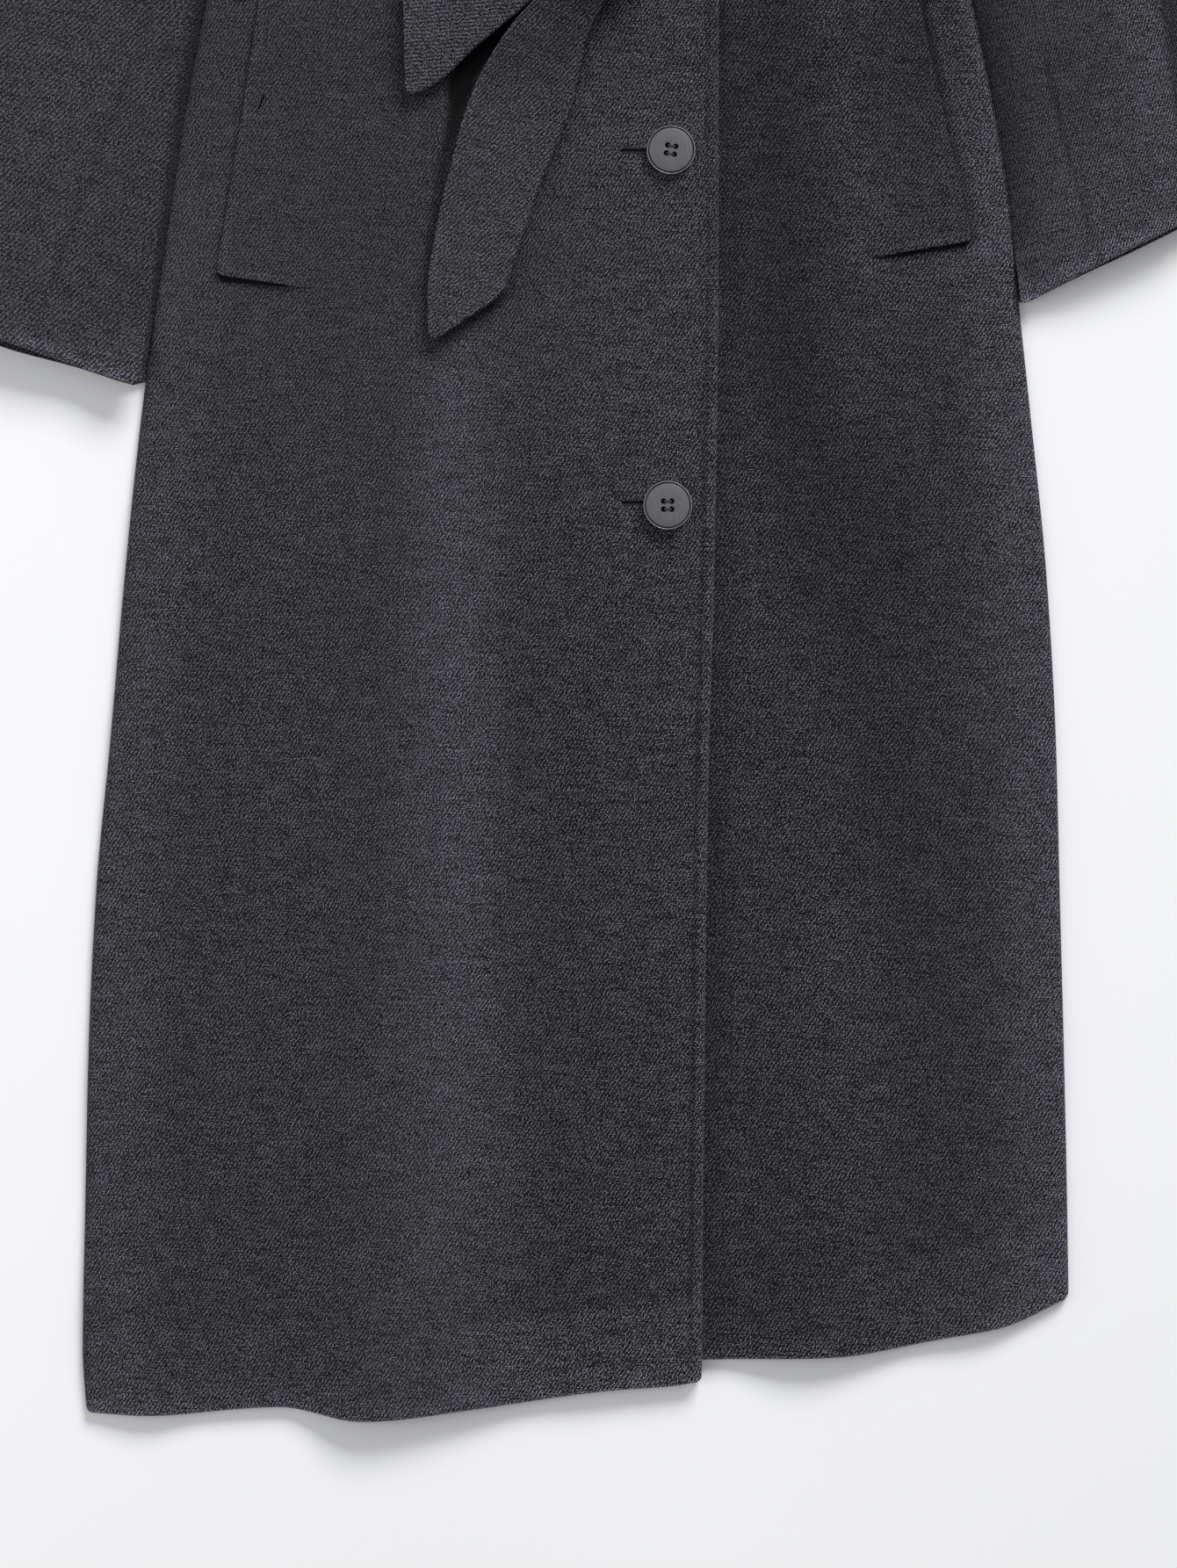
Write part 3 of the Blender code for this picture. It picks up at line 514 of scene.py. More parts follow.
# Near-black beads down in the holes and along the buttonhole slits: painted shade.
HOLE_SHADE_BEADS = Stitch(0.3, 2 * BUTTON_HOLE_RADIUS, 2 * BUTTON_HOLE_RADIUS, 0.6)
LIP_STITCH = Stitch(0.5, 1.1, 0.5, 0.5)
SLIT_SHADE_BEADS = Stitch(0.5, 1.6, BUTTONHOLE_HALF * 2, 0.5)

# Belt: knot, stretches beside it, tails and loops.
KNOT_X = 12
KNOT_HALF = (31, 29, 11)
KNOT_REST = 12.3
KNOT_PINCH = 0.26
KNOT_PINCH_BEND = 3
KNOT_PLEAT = 0.07
KNOT_PLEATS = 2.6
KNOT_PLEAT_PHASE = 0.7
KNOT_PLEAT_FADE = 0.5
KNOT_PLEAT_SIDE = 0.5
KNOT_PLEAT_LOW = -0.3
KNOT_WAVER = 0.14
KNOT_WAVER_PHASE = 0.6
KNOT_ROUND_Y = 0.8
KNOT_ROUND_Z = 0.75
KNOT_TWIST = 3
KNOT_WAIST = 0.06
KNOT_LEAN = 2.5
KNOT_ROWS = 96
KNOT_COLUMNS = 44
BELT_STEP = 3
BELT_KNOT_HALF = 18
BELT_TAPER = 90
BELT_TUCK = 20
BELT_RISE = 6.5
BELT_RISE_REACH = 60
BELT_PLEAT = 1.5
BELT_PLEAT_REACH = 120
BELT_PLEATS = 3
BELT_PLEAT_PHASE = 0.5
BELT_PLEAT_LEAN = 0.8
BELT_FLOOR_GAP = 0.2
BELT_BACK_HALF = 217
STEP_DOWN = 40
TAIL_STEP = 1.8
TAIL_WALL = 4
TAIL_RIM = 1.5
TAIL_CROWN = 1.2
# Painted highlight along a tail's left edge, painted shade along its right edge, and painted shadow on each
# tail near the knot.
TAIL_EDGE_SHINE = 0.22
TAIL_EDGE_SHADE = 0.85
TAIL_EDGE_REACH = 2
TAIL_ROOT_SHADE = 0.34
TAIL_ROOT = (0.6, 0.25)
TAIL_CURL_RUN = 3
TAIL_CURL_REACH = 9
LOOP_IN = 14
LOOP_HALF_WIDTH = 4.5
LOOP_END = 42
LOOP_FOOT = 3
LOOP_STEEP = 1.25
LOOP_STEP = 0.75

# Twill lines on each piece, as they lie: their slope and how far apart they are.
Grain = namedtuple("Grain", "slope pitch")
TWILL_SLOPE = 59
TWILL_PITCH = 2
FRONT_GRAIN = {LEFT: Grain(57, 2), RIGHT: Grain(57, 2.07)}
SLEEVE_GRAIN = {LEFT: Grain(44, 2.45), RIGHT: Grain(72, 1.7)}
BACK_GRAIN = Grain(121, 2)
FACING_GRAIN = Grain(66, 2)
BELT_GRAIN = Grain(31, 2)

# Belt tails, from the cut end to the knot: both edges, and their height above the front. Each tail also has
# its twill, the curl of its left edge, how much lighter it is painted all over (shine) and the radius of its
# corners.
TailRow = namedtuple("TailRow", "share left_x left_drop right_x right_drop left_lift right_lift")
Tail = namedtuple("Tail", "rows grain curl shine corner")
TAILS = {
    "belt_tail_upper": Tail(
        table(
            TailRow, (0, -113, 33, -111.5, 102.5, 1.6, 1), (0.12, -106, 30, -98, 98, 2.2, 1.6),
            (0.45, -82, 13, -66, 71, 4.4, 5), (0.75, -55, -6, -35, 46, 7, 8),
            (1, -12, -18, -12, 26, 7.5, 8.5),
        ),
        Grain(4, 2.3), 0, 0.38, 4,
    ),
    "belt_tail_lower": Tail(
        table(
            TailRow, (0, -97.5, 253, -52, 223, 1.4, 3), (0.14, -98, 222, -46.5, 209, 1.6, 1.4),
            (0.32, -93.5, 187.5, -37, 180, 2.2, 0.4), (0.5, -84, 146, -24, 144, 3.6, 0.2),
            (0.7, -71.8, 105, -9, 107, 6, 0.2), (0.87, -49.8, 65, 1, 65, 8, 1.2),
            (1, -10, 22, 26, 22, 6, 3.4),
        ),
        Grain(45, 2.1), 1.6, 0.2, 8,
    ),
}

# How crisply the weave shows, across the coat: on its upper half and on its skirt.
Crisp = namedtuple("Crisp", "x upper skirt")
CRISP = table(
    Crisp, (-430, 0.7, 0.7), (-280, 0.72, 1), (-190, 0.8, 1.13), (-90, 0.82, 0.9), (-40, 0.88, 1.2),
    (20, 1.14, 1.42), (130, 1.28, 1.4), (200, 1.12, 1.2), (275, 1.06, 0.98), (330, 1.22, 1.22),
    (430, 1.22, 1.22),
)
SKIRT_START = 200
SKIRT_REACH = 200
SKIRT_TONE = {LEFT: -0.07, RIGHT: -0.05}


def lerp(a, b, share):
    return a + (b - a) * share


def eased(share):
    """0 to 1 with a soft start and end."""
    return (1 - np.cos(np.pi * np.clip(share, 0, 1))) / 2


def fading(distance, reach):
    """1 at no distance, and softly down to 0 at a reach."""
    return eased(1 - distance / reach)


def along(rows, at, column):
    """A column's value at places, on a smooth curve through the rows. The first column is the place."""
    places = np.array([row[0] for row in rows], float)
    values = np.array([getattr(row, column) for row in rows], float)
    at = np.clip(at, places[0], places[-1])
    slopes = np.diff(values) / np.diff(places)
    leans = np.concatenate((slopes[:1], np.zeros(len(rows) - 2), slopes[-1:]))
    product = slopes[:-1] * slopes[1:]
    rising = product > 0
    leans[1:-1][rising] = 2 * product[rising] / (slopes[:-1] + slopes[1:])[rising]
    k = np.clip(np.searchsorted(places, at, side="right") - 1, 0, len(rows) - 2)
    span = places[k + 1] - places[k]
    s = (at - places[k]) / span
    start = (1 + 2 * s) * (1 - s) ** 2 * values[k] + s * (1 - s) ** 2 * span * leans[k]
    end = s * s * (3 - 2 * s) * values[k + 1] + s * s * (s - 1) * span * leans[k + 1]
    return start + end


def spaced(start, end, step):
    """Even places from start to end, about a step apart."""
    return np.linspace(start, end, max(2, math.ceil(abs(end - start) / step) + 1))


def rows_of(counts, *parts):
    """A column of row values: for each stretch of rows, one value or a list of them."""
    return np.concatenate([np.broadcast_to(part, count) for part, count in zip(parts, counts)])[:, None]


def quarter():
    """Angles of a soft roll, from the edge to the level."""
    return np.radians(np.linspace(0, 90, TURN_STEPS))


knot_low, knot_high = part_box("belt_knot")
COAT_X = (knot_low.x + knot_high.x) / 2 - KNOT_X * MM
COAT_Y = (knot_low.y + knot_high.y) / 2


def placed(x, drop, z):
    """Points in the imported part's frame, in metres, with the shoulders leaning a little to one side."""
    x, drop, z = np.broadcast_arrays(x, drop, z)
    y = -drop
    lean = SHOULDER_LEAN * x * np.clip(y / SHOULDER_RISE, 0, 1)
    return np.stack((x * MM + COAT_X, (y + lean) * MM + COAT_Y, z * MM), axis=-1)


def side_half(side, drop):
    return along(SIDES, drop, "left" if side == LEFT else "right")


def armhole_x(side, drop):
    """Across the armhole seam, which bows a little towards the middle."""
    share = (drop + ARMPIT_RISE) / (ARMPIT_RISE - SHOULDER_RISE)
    bow = ARMHOLE_BOW * 4 * share * (1 - share)
    return side * (lerp(side_half(side, -ARMPIT_RISE), SHOULDER_HALF, share) - bow)


def roll_line_x(side, drop):
    """Across the line where a lapel turns back, from the break to the neck."""
    start = OVER_EDGE[0].x if side == LEFT else UNDER_EDGE_X
    return lerp(start, side * NECK_HALF, (-drop - BREAK_RISE) / (NECK_RISE - BREAK_RISE))


def front_edge_x(side, drop):
    below = along(OVER_EDGE, drop, "x") if side == LEFT else UNDER_EDGE_X
    return np.where(drop < -BREAK_RISE, roll_line_x(side, drop), below)


def belt_lift(drop):
    """Height that the belt's back stretch gives the panels above it."""
    return BELT_LIFT * (1 - eased((np.abs(drop) - LIFT_REST) / LIFT_FADE))


def reach_beside(rows, middle, x, drop):
    """How far a fold or band reaches on the side of its middle where each place is."""
    return np.where(x < middle, along(rows, drop, "left_reach"), along(rows, drop, "right_reach"))


def ridge(fold, across, drop):
    """Height of a soft fold at a place across, which runs down the cloth."""
    crest = along(fold, drop, "crest")
    reach = reach_beside(fold, crest, across, drop)
    there = (drop >= fold[0].drop) & (drop <= fold[-1].drop + LIFT_REST)
    return there * along(fold, drop, "height") * fading(np.abs(across - crest), reach)


def painted_band_shift(band, x, drop):
    """How much lighter or darker one band of painted light or shade makes the cloth."""
    middle = along(band, drop, "x")
    reach = reach_beside(band, middle, x, drop)
    return along(band, drop, "shift") * fading(np.abs(x - middle), 2 * reach)


def beside_welt(side, x, drop):
    """Distance outside the outer edge of a pocket welt, and whether the place is beside it."""
    welt = WELTS[side]
    share = (drop - welt.top_drop) / (welt.end_drop - welt.top_drop)
    outside = side * x - lerp(welt.top_half, welt.end_half, share)
    first, last = WELT_BESIDE
    return outside, (share > first) & (share < last)


def painted_front_shading(side, x, drop):
    """How much lighter or darker a front is painted for light and shade: its bands, a darker skirt, and
    painted shade just outside a pocket welt's outer edge.
    """
    total = sum(painted_band_shift(band, x, drop) for band in PAINTED_BANDS[side])
    total = total + SKIRT_TONE[side] * eased((drop - SKIRT_START) / SKIRT_REACH)
    outside, there = beside_welt(side, x, drop)
    return total - WELT_SHADE[side] * there * fading(np.abs(outside - WELT_SHADE_OUT), WELT_VALLEY_HALF)


def ripples(x, drop):
    total = 0
    for ripple in RIPPLES:
        turn = math.radians(ripple.turn)
        way = x * math.cos(turn) + drop * math.sin(turn)
        total = total + ripple.height * np.sin(2 * math.pi * way / ripple.length + ripple.phase)
    return total


def climb(x, drop):
    """Height of the over front above a single front, over the under front's edge."""
    start = front_edge_x(RIGHT, drop) - CLIMB_START
    return LAYER * eased((x - start) / (CLIMB_START - CLIMB_END))


def front_top(side, x, drop):
    """Height of a front's outer face, away from its edges."""
    x, drop = np.broadcast_arrays(np.asarray(x, float), np.asarray(drop, float))
    folds = sum(ridge(fold, x, drop) for fold in FOLDS[side])
    over = climb(x, drop) if side == LEFT else 0
    return FRONT_TOP + belt_lift(drop) + folds + over + ripples(x, drop)


def crispness(points):
    """How crisply the weave shows at points of the coat."""
    x, drop = (points[..., 0] - COAT_X) / MM, (COAT_Y - points[..., 1]) / MM
    skirt = eased((drop - SKIRT_START) / SKIRT_REACH)
    return lerp(along(CRISP, x, "upper"), along(CRISP, x, "skirt"), skirt)


def groove(distance, half, depth):
    """A soft line pressed into the cloth."""
    return -depth * fading(np.abs(distance), half)


def lengths(points, axis):
    """Distances between neighbouring points along an axis of a grid."""
    return np.linalg.norm(np.diff(points, axis=axis), axis=-1)


def run_total(steps, axis):
    """Running total of steps, which starts from nothing."""
    start = np.zeros_like(np.take(steps, [0], axis=axis))
    return np.concatenate((start, np.cumsum(steps, axis=axis)), axis=axis)


def plan_cut(points):
    """The flat cut of a sheet that lies flat: its plan, let out where it rolls or rises."""
    rows, columns = points.shape[:2]
    plan = points[:, :, :2]
    let_x, let_y = (run_total(lengths(points, axis) - lengths(plan, axis), axis) for axis in (1, 0))
    let_x -= let_x[:, columns // 2, None]
    let_y -= let_y[None, rows // 2]
    return plan + np.stack((let_x, let_y), axis=-1)


def strip_cut(points):
    """The flat cut of a strip: how far across it and along its middle each point is."""
    middle = points.shape[1] // 2
    u = run_total(lengths(points, 1), 1)
    u -= u[:, middle, None]
    v = run_total(lengths(points[:, middle], 0), 0)
    return np.stack((u, np.broadcast_to(v[:, None], u.shape)), axis=-1)


def soft_corner(points, at_end, radius):
    """Rounds a corner of a grid of points in the plan, at the start or the end of its first row."""
    grid = points[:, ::-1, :2] if at_end else points[:, :, :2]
    p = run_total(lengths(grid[0], 0), 0)
    q = run_total(lengths(grid[:, 0], 0), 0)
    radius = radius * MM
    a = np.clip(1 - p / radius, 0, 1)[None, :]
    b = np.clip(1 - q / radius, 0, 1)[:, None]
    along_row = grid[0, np.searchsorted(p, radius)] - grid[0, 0]
    along_column = grid[np.searchsorted(q, radius), 0] - grid[0, 0]
    along_row = along_row / np.linalg.norm(along_row)
    along_column = along_column / np.linalg.norm(along_column)
    in_row = radius * a * (1 - np.sqrt(1 - b * b / 2))
    in_column = radius * b * (1 - np.sqrt(1 - a * a / 2))
    grid += in_row[:, :, None] * along_row + in_column[:, :, None] * along_column
    return points


def front_points(side):
    """The outer face of a front, and its painted light and shade: hem and side edge rolled down, armhole,
    roll line.
    """
    hem = HEM_OVER if side == LEFT else HEM_UNDER
    corner = hem[0] if side == LEFT else hem[-1]
    tip = hem[-1] if side == LEFT else hem[0]
    turn = quarter()
    zone = spaced(1, 0, FINE / (corner.drop - HEM_ZONE_TOP))[1:]
    body = spaced(HEM_ZONE_TOP, -ARMPIT_RISE, BODY_STEP)[1:]
    arm = spaced(0, 1, BODY_STEP / (SHOULDER_RISE - ARMPIT_RISE))[1:-1]
    counts = (len(turn), len(zone), len(body), len(arm), len(turn))
    edge_turn = turn[::-1]
    share = rows_of(counts, 1, zone, 0, 0, 0)
    below = rows_of(counts, HEM_ROLL * np.cos(turn), 0, 0, 0, 0)
    level = rows_of(counts, HEM_ZONE_TOP, HEM_ZONE_TOP, body, 0, 0)
    up = rows_of(counts, 0, 0, 0, arm, 1)
    down = rows_of(counts, 0, 0, 0, 0, SHOULDER_ROLL * (1 - np.cos(edge_turn)))
    row_rise = rows_of(counts, np.sin(turn), 1, 1, 1, np.sin(edge_turn))
    at_arm = up > 0

    def hem_drop(x):
        return lerp(HEM_ZONE_TOP, along(hem, x, "drop") - HEM_ROLL, share) + below

    outer_drop = np.where(at_arm, lerp(-ARMPIT_RISE, -SHOULDER_RISE, up) + down, level)
    inner_drop = np.where(at_arm, lerp(-ARMPIT_RISE, -NECK_RISE, up) + down, level)
    outer_drop = np.where(share > 0, hem_drop(corner.x), outer_drop)
    inner_drop = np.where(share > 0, hem_drop(tip.x), inner_drop)
    outer_x = np.where(at_arm, armhole_x(side, outer_drop), side * side_half(side, outer_drop))
    inner_x = front_edge_x(side, inner_drop)
    width = np.abs(inner_x - outer_x)

    roll = SIDE_ROLL[side]
    near_edge = np.concatenate((FRONT_EDGE_COLUMNS, FRONT_EDGE_ROLL * (1 - np.cos(edge_turn))))[None, :]
    share_across = spaced(0, 1, FINE_ACROSS / FRONT_WIDTH)[None, 1:]
    from_outer = np.concatenate(
        (
            np.broadcast_to(roll * (1 - np.cos(turn))[None, :], (len(share), len(turn))),
            lerp(roll, width - FRONT_EDGE_COLUMNS[0] - FINE_ACROSS, share_across),
            width - near_edge,
        ),
        axis=1,
    )
    middle = from_outer.shape[1] - len(turn)
    side_rise = np.concatenate((np.sin(turn), np.ones(middle)))[None, :]
    side_rise = lerp(side_rise, 1, eased(up * ARMPIT_FADE))
    edge_rise = np.concatenate((np.ones(middle), np.sin(edge_turn)))[None, :]
    x = outer_x - side * from_outer
    drop = lerp(outer_drop, inner_drop, from_outer / width)
    drop = np.where(share > 0, hem_drop(x), drop)
    top = front_top(side, x, drop)
    from_hem = along(hem, x, "drop") - drop
    top = top + groove(from_hem - HEM_TURN_UP, HEM_LINE_HALF, HEM_LINE_DEPTH)
    outside, there = beside_welt(side, x, drop)
    top = top + there * groove(outside - WELT_VALLEY_OUT, WELT_VALLEY_HALF, WELT_VALLEY[side])
    if side == LEFT:
        from_edge = width - from_outer
        below_break = inner_drop >= -BREAK_RISE
        band = EDGE_BAND_LIFT * eased(2 - from_edge / EDGE_BAND * EDGE_BAND_FALL)
        top = top + below_break * (band + groove(from_edge - EDGE_BAND, EDGE_LINE_HALF, EDGE_LINE_DEPTH))
        rest = front_top(RIGHT, x, drop) + SEAM + EDGE_CLEAR
        top = np.where(below_break, lerp(rest, top, edge_rise), top)
    by_sleeve = 1 - eased((drop - SLEEVES[side][0].inner_drop + TUCK_FADE / 2) / TUCK_FADE)
    low = lerp(FLOOR_GAP, TUCK_TOP, by_sleeve)
    clear = np.maximum(FLOOR_GAP, top - HEM_CURL)
    low = np.where(below > 0, lerp(low, clear, side_rise), low)
    z = lerp(low, top, np.minimum(side_rise, row_rise))
    # Painted light and shade: the front's bands, a painted highlight along the hem, the turned-up band's
    # tone, painted shade above it, and at the over front's edge band its painted shade and highlight.
    nap = painted_front_shading(side, x, drop) + HEM_SHINE[side] * np.exp(-from_hem / HEM_SHINE_REACH)
    nap = nap + HEM_EDGE_SHINE * fading(from_hem, HEM_EDGE_REACH)
    turned_up = eased((HEM_TURN_UP - from_hem) / (2 * HEM_LINE_HALF) + 0.5)
    nap = nap + along(HEM_TONES[side], x, "shift") * turned_up
    nap = nap + groove(from_hem - HEM_TURN_UP - HEM_SHADE_UP, HEM_SHADE_HALF, HEM_LINE_SHADE)
    if side == LEFT:
        line = groove(from_edge - EDGE_BAND, EDGE_SHADE_HALF, EDGE_SHADE)
        lower = eased((drop - EDGE_SHINE_TOP) / EDGE_SHINE_RUN)
        shine = lerp(EDGE_SHINE_HIGH, EDGE_SHINE, lower) * eased(2 - 2 * from_edge / EDGE_BAND)
        nap = nap + below_break * (shine + line * lerp(EDGE_SHADE_HIGH, 1, lower))
    points = soft_corner(placed(x, drop, z), False, HEM_CORNER)
    points = soft_corner(points, True, HEM_CORNER)
    if side == RIGHT:
        points, nap = points[:, ::-1], nap[:, ::-1]
    return points, nap


def back_top_drop(x):
    """The back's upper edge: the shoulders and the scoop of the neck."""
    scoop = NECK_RISE - NECK_SCOOP * (1 - (x / NECK_HALF) ** 2)
    slope = (np.abs(x) - NECK_HALF) / (SHOULDER_HALF - NECK_HALF)
    shoulder = lerp(NECK_RISE, SHOULDER_RISE, slope)
    return UNDER_INSET - np.where(np.abs(x) < NECK_HALF, scoop, shoulder)


def back_points():
    """The upper face of the back, which stays inside the fronts' rolled edges."""
    zone = spaced(1, 0, PLAIN / BACK_HEM_RUN)
    body = spaced(HEM_ZONE_TOP, -ARMPIT_RISE, PLAIN)[1:]
    arm = spaced(0, 1, PLAIN / BACK_ARM_RUN)[1:]
    counts = (len(zone), len(body), len(arm))
    share = rows_of(counts, zone, 0, 0)
    level = rows_of(counts, HEM_ZONE_TOP, body, -ARMPIT_RISE)
    up = rows_of(counts, 0, 0, arm)
    ends = []
    for side in (LEFT, RIGHT):
        hem_drop = lerp(HEM_ZONE_TOP, along(HEM_BACK, side * SHOULDER_HALF, "drop"), share)
        drop = np.where(share > 0, hem_drop, level)
        beside = side * (side_half(side, drop) - UNDER_INSET)
        arm_drop = lerp(-ARMPIT_RISE, UNDER_INSET - SHOULDER_RISE, up)
        inset = UNDER_INSET * (1 - eased(up * BACK_INSET_FADE))
        ends.append(np.where(up > 0, armhole_x(side, arm_drop) - side * inset, beside))
    x = lerp(ends[0], ends[1], spaced(0, 1, PLAIN / BACK_WIDTH)[None, :])
    drop = np.where(share > 0, lerp(HEM_ZONE_TOP, along(HEM_BACK, x, "drop"), share), level)
    drop = np.where(up > 0, lerp(-ARMPIT_RISE, back_top_drop(x), up), drop)
    return placed(x, drop, BACK_TOP + belt_lift(drop))


def sleeve_ends(side, share):
    """The inner and outer ends of rows across a sleeve: x and drop of each."""
    rows = SLEEVES[side]
    up = np.clip((share - ARMPIT_SHARE) / (1 - ARMPIT_SHARE), 0, 1)
    cap_drop = lerp(-ARMPIT_RISE, -SHOULDER_RISE, up)
    arm_drop = along(rows, share, "inner_drop")
    at_cap = share > ARMPIT_SHARE
    inner_drop = np.where(at_cap, cap_drop, arm_drop)
    beside = side * (side_half(side, arm_drop) + SLEEVE_GAP)
    inner_x = np.where(at_cap, armhole_x(side, cap_drop) + side * ARMHOLE_GAP, beside)
    return inner_x, inner_drop, side * along(rows, share, "outer_x"), along(rows, share, "outer_drop")


def seam_distance(x, drop, path):
    """Distance in the plan from points to a sewn line."""
    best = np.full(np.broadcast(x, drop).shape, np.inf)
    for a, b in zip(path, path[1:]):
        run_x, run_d = b.x - a.x, b.drop - a.drop
        share = ((x - a.x) * run_x + (drop - a.drop) * run_d) / (run_x**2 + run_d**2)
        share = np.clip(share, 0, 1)
        best = np.minimum(best, np.hypot(x - a.x - run_x * share, drop - a.drop - run_d * share))
    return best


def sleeve_top_points(side):
    """The outer face of a top sleeve, rolled down at its edges, with its cuff turned in."""
    turn = quarter()
    arm = spaced(CUFF_ROLL / SLEEVE_LENGTH, 1, SLEEVE_STEP / SLEEVE_LENGTH)
    share = np.concatenate((CUFF_ROLL * (1 - np.cos(turn[:-1])) / SLEEVE_LENGTH, arm))[:, None]
    cuff_rise = np.concatenate((np.sin(turn[:-1]), np.ones(len(arm))))[:, None]
    inner_x, inner_drop, outer_x, outer_drop = sleeve_ends(side, share)
    width = np.hypot(outer_x - inner_x, outer_drop - inner_drop)
    at_cap = eased((share - ARMPIT_SHARE) / (1 - ARMPIT_SHARE) * ARMPIT_FADE)
    narrow = np.minimum(1, width / SLEEVE_NARROW)
    inner_roll = lerp(SLEEVE_INNER_ROLL[side], SLEEVE_CAP_ROLL, at_cap) * narrow
    outer_roll = SLEEVE_OUTER_ROLL * narrow
    inside = spaced(0, 1, SLEEVE_STEP / SLEEVE_WIDTH)[None, 1:-1]
    rolled = 1 - np.cos(turn)[None, :]
    from_inner = np.concatenate(
        (
            inner_roll * rolled,
            lerp(inner_roll, width - outer_roll, inside),
            width - outer_roll * rolled[:, ::-1],
        ),
        axis=1,
    )
    inner_rise = np.concatenate((np.sin(turn), np.ones(from_inner.shape[1] - len(turn))))[None, :]
    outer_rise = inner_rise[:, ::-1]
    inner_rise = lerp(inner_rise, 1, at_cap)
    across = from_inner / width
    x = lerp(inner_x, outer_x, across)
    drop = lerp(inner_drop, outer_drop, across)
    arch = np.sin(np.pi * np.clip(across, 0, 1))
    puff = along(SLEEVES[side], share, "puff") * arch**PUFF_ROUND
    head = SLEEVE_HEAD * at_cap * np.sin(np.pi * np.clip(from_inner / SLEEVE_HEAD_REACH, 0, 1))
    folds = sum(ridge(fold, side * x, drop) for fold in SLEEVE_FOLDS[side])
    sewn = groove(seam_distance(x, drop, SLEEVE_SEAMS[side]), SEAM_HALF, SEAM_DEPTH[side])
    cuff = groove(share * SLEEVE_LENGTH - CUFF_LINE, HEM_LINE_HALF, HEM_LINE_DEPTH)
    cuff_shine = CUFF_SHINE * np.exp(-share * SLEEVE_LENGTH / CUFF_SHINE_REACH)
    top = FRONT_TOP + puff + head + folds * arch + sewn + cuff
    top = top + ripples(x * SLEEVE_RIPPLE + SLEEVE_RIPPLE_SHIFT, drop * SLEEVE_RIPPLE)
    corner = lerp(CUFF_CORNER_GAP[side], CUFF_OUTER_GAP, eased(across * CUFF_GAP_FADE))
    low = lerp(corner, FLOOR_GAP, eased(share * SLEEVE_LENGTH / CUFF_LIFT_REACH))
    z = lerp(low, top, np.minimum(inner_rise, outer_rise)) - CUFF_LIP * (1 - cuff_rise)
    points = soft_corner(placed(x, drop, np.maximum(z, low)), False, CUFF_CORNER[side])
    # Painted shade beside the body and along the seam, a painted highlight along the cuff, and the painted
    # bands of the folds.
    beside = SLEEVE_SHADE[side]
    reach = lerp(beside.cuff_reach, beside.arm_reach, np.minimum(1, share / SLEEVE_SHADE_END))
    dark = lerp(beside.cuff_dark, beside.arm_dark, np.minimum(1, share / SLEEVE_DARK_END))
    nap = -dark * (1 - at_cap) * eased(SLEEVE_SHADE_EDGE - from_inner / reach)
    start, fade, least = SEAM_FADE
    nap = nap + sewn * SEAM_SHADE * lerp(least, 1, eased((drop - start) / fade)) + cuff_shine
    for band in SLEEVE_PAINTED_BANDS[side]:
        nap = nap + painted_band_shift(band, side * x, drop)
    if side == LEFT:
        points, nap = points[:, ::-1], nap[:, ::-1]
    return points, nap


def sleeve_under_points(side):
    """The upper face of an under sleeve, a little longer than the top sleeve at the cuff."""
    share = spaced(0, 1, PLAIN / SLEEVE_LENGTH)[:, None] * UNDER_SLEEVE_REACH
    inner_x, inner_drop, outer_x, outer_drop = sleeve_ends(side, share)
    width = np.hypot(outer_x - inner_x, outer_drop - inner_drop)
    inset = -(TUCK + SLEEVE_GAP) * (1 - eased((share - ARMPIT_SHARE) / TUCK_END))
    across = spaced(0, 1, PLAIN / UNDER_SLEEVE_WIDTH)[None, :]
    part = lerp(inset / width, 1 - UNDER_INSET / width, across)
    x = lerp(inner_x, outer_x, part)
    drop = lerp(inner_drop, outer_drop, part)
    from_cuff = share * SLEEVE_LENGTH
    slit = CUFF_SLIT[side] * eased((across - CUFF_SLIT_START) * CUFF_SLIT_FADE)
    reach = slit * (1 - eased(from_cuff / CUFF_SLIT_REACH))
    x = x - reach * (outer_drop - inner_drop) / width * side
    drop = drop + reach * np.abs(outer_x - inner_x) / width
    lip = UNDER_CUFF_LIP * (1 - eased(from_cuff / UNDER_LIP_REACH))
    points = soft_corner(placed(x, drop, BACK_TOP + lip), False, UNDER_CUFF_CORNER[side])
    return points[:, ::-1] if side == LEFT else points


def turned_back(side, inner, outer, rest):
    """A face that turns back over a line: from inside the turn, round it, and down to its outer edge."""
    turn = np.radians(np.linspace(TURN_START, TURN_END, TURN_POINTS))
    gap = outer - inner
    width = np.linalg.norm(gap, axis=-1, keepdims=True)
    way = gap / width
    out = spaced(0, 1, FACING_STEP / FACING_WIDTH)[1:]
    bulge = TURN_RADIUS * np.minimum(1, width / TURN_NARROW)
    flat = out[None, :] * width
    offset = np.concatenate((-bulge * np.cos(turn)[None, :], flat), axis=1)
    level = SEAM + WALL
    settle = lerp(TURN_CENTRE + bulge, level, eased(flat / np.minimum(TURN_REST, width)))
    height = np.concatenate((TURN_CENTRE + bulge * np.sin(turn)[None, :], settle), axis=1)
    spots = inner[:, None, :] + way[:, None, :] * offset[:, :, None]
    x, drop = spots[:, :, 0], spots[:, :, 1]
    base = rest(x, drop)
    points = placed(x, drop, base + height)
    return points[:, ::-1] if side == LEFT else points


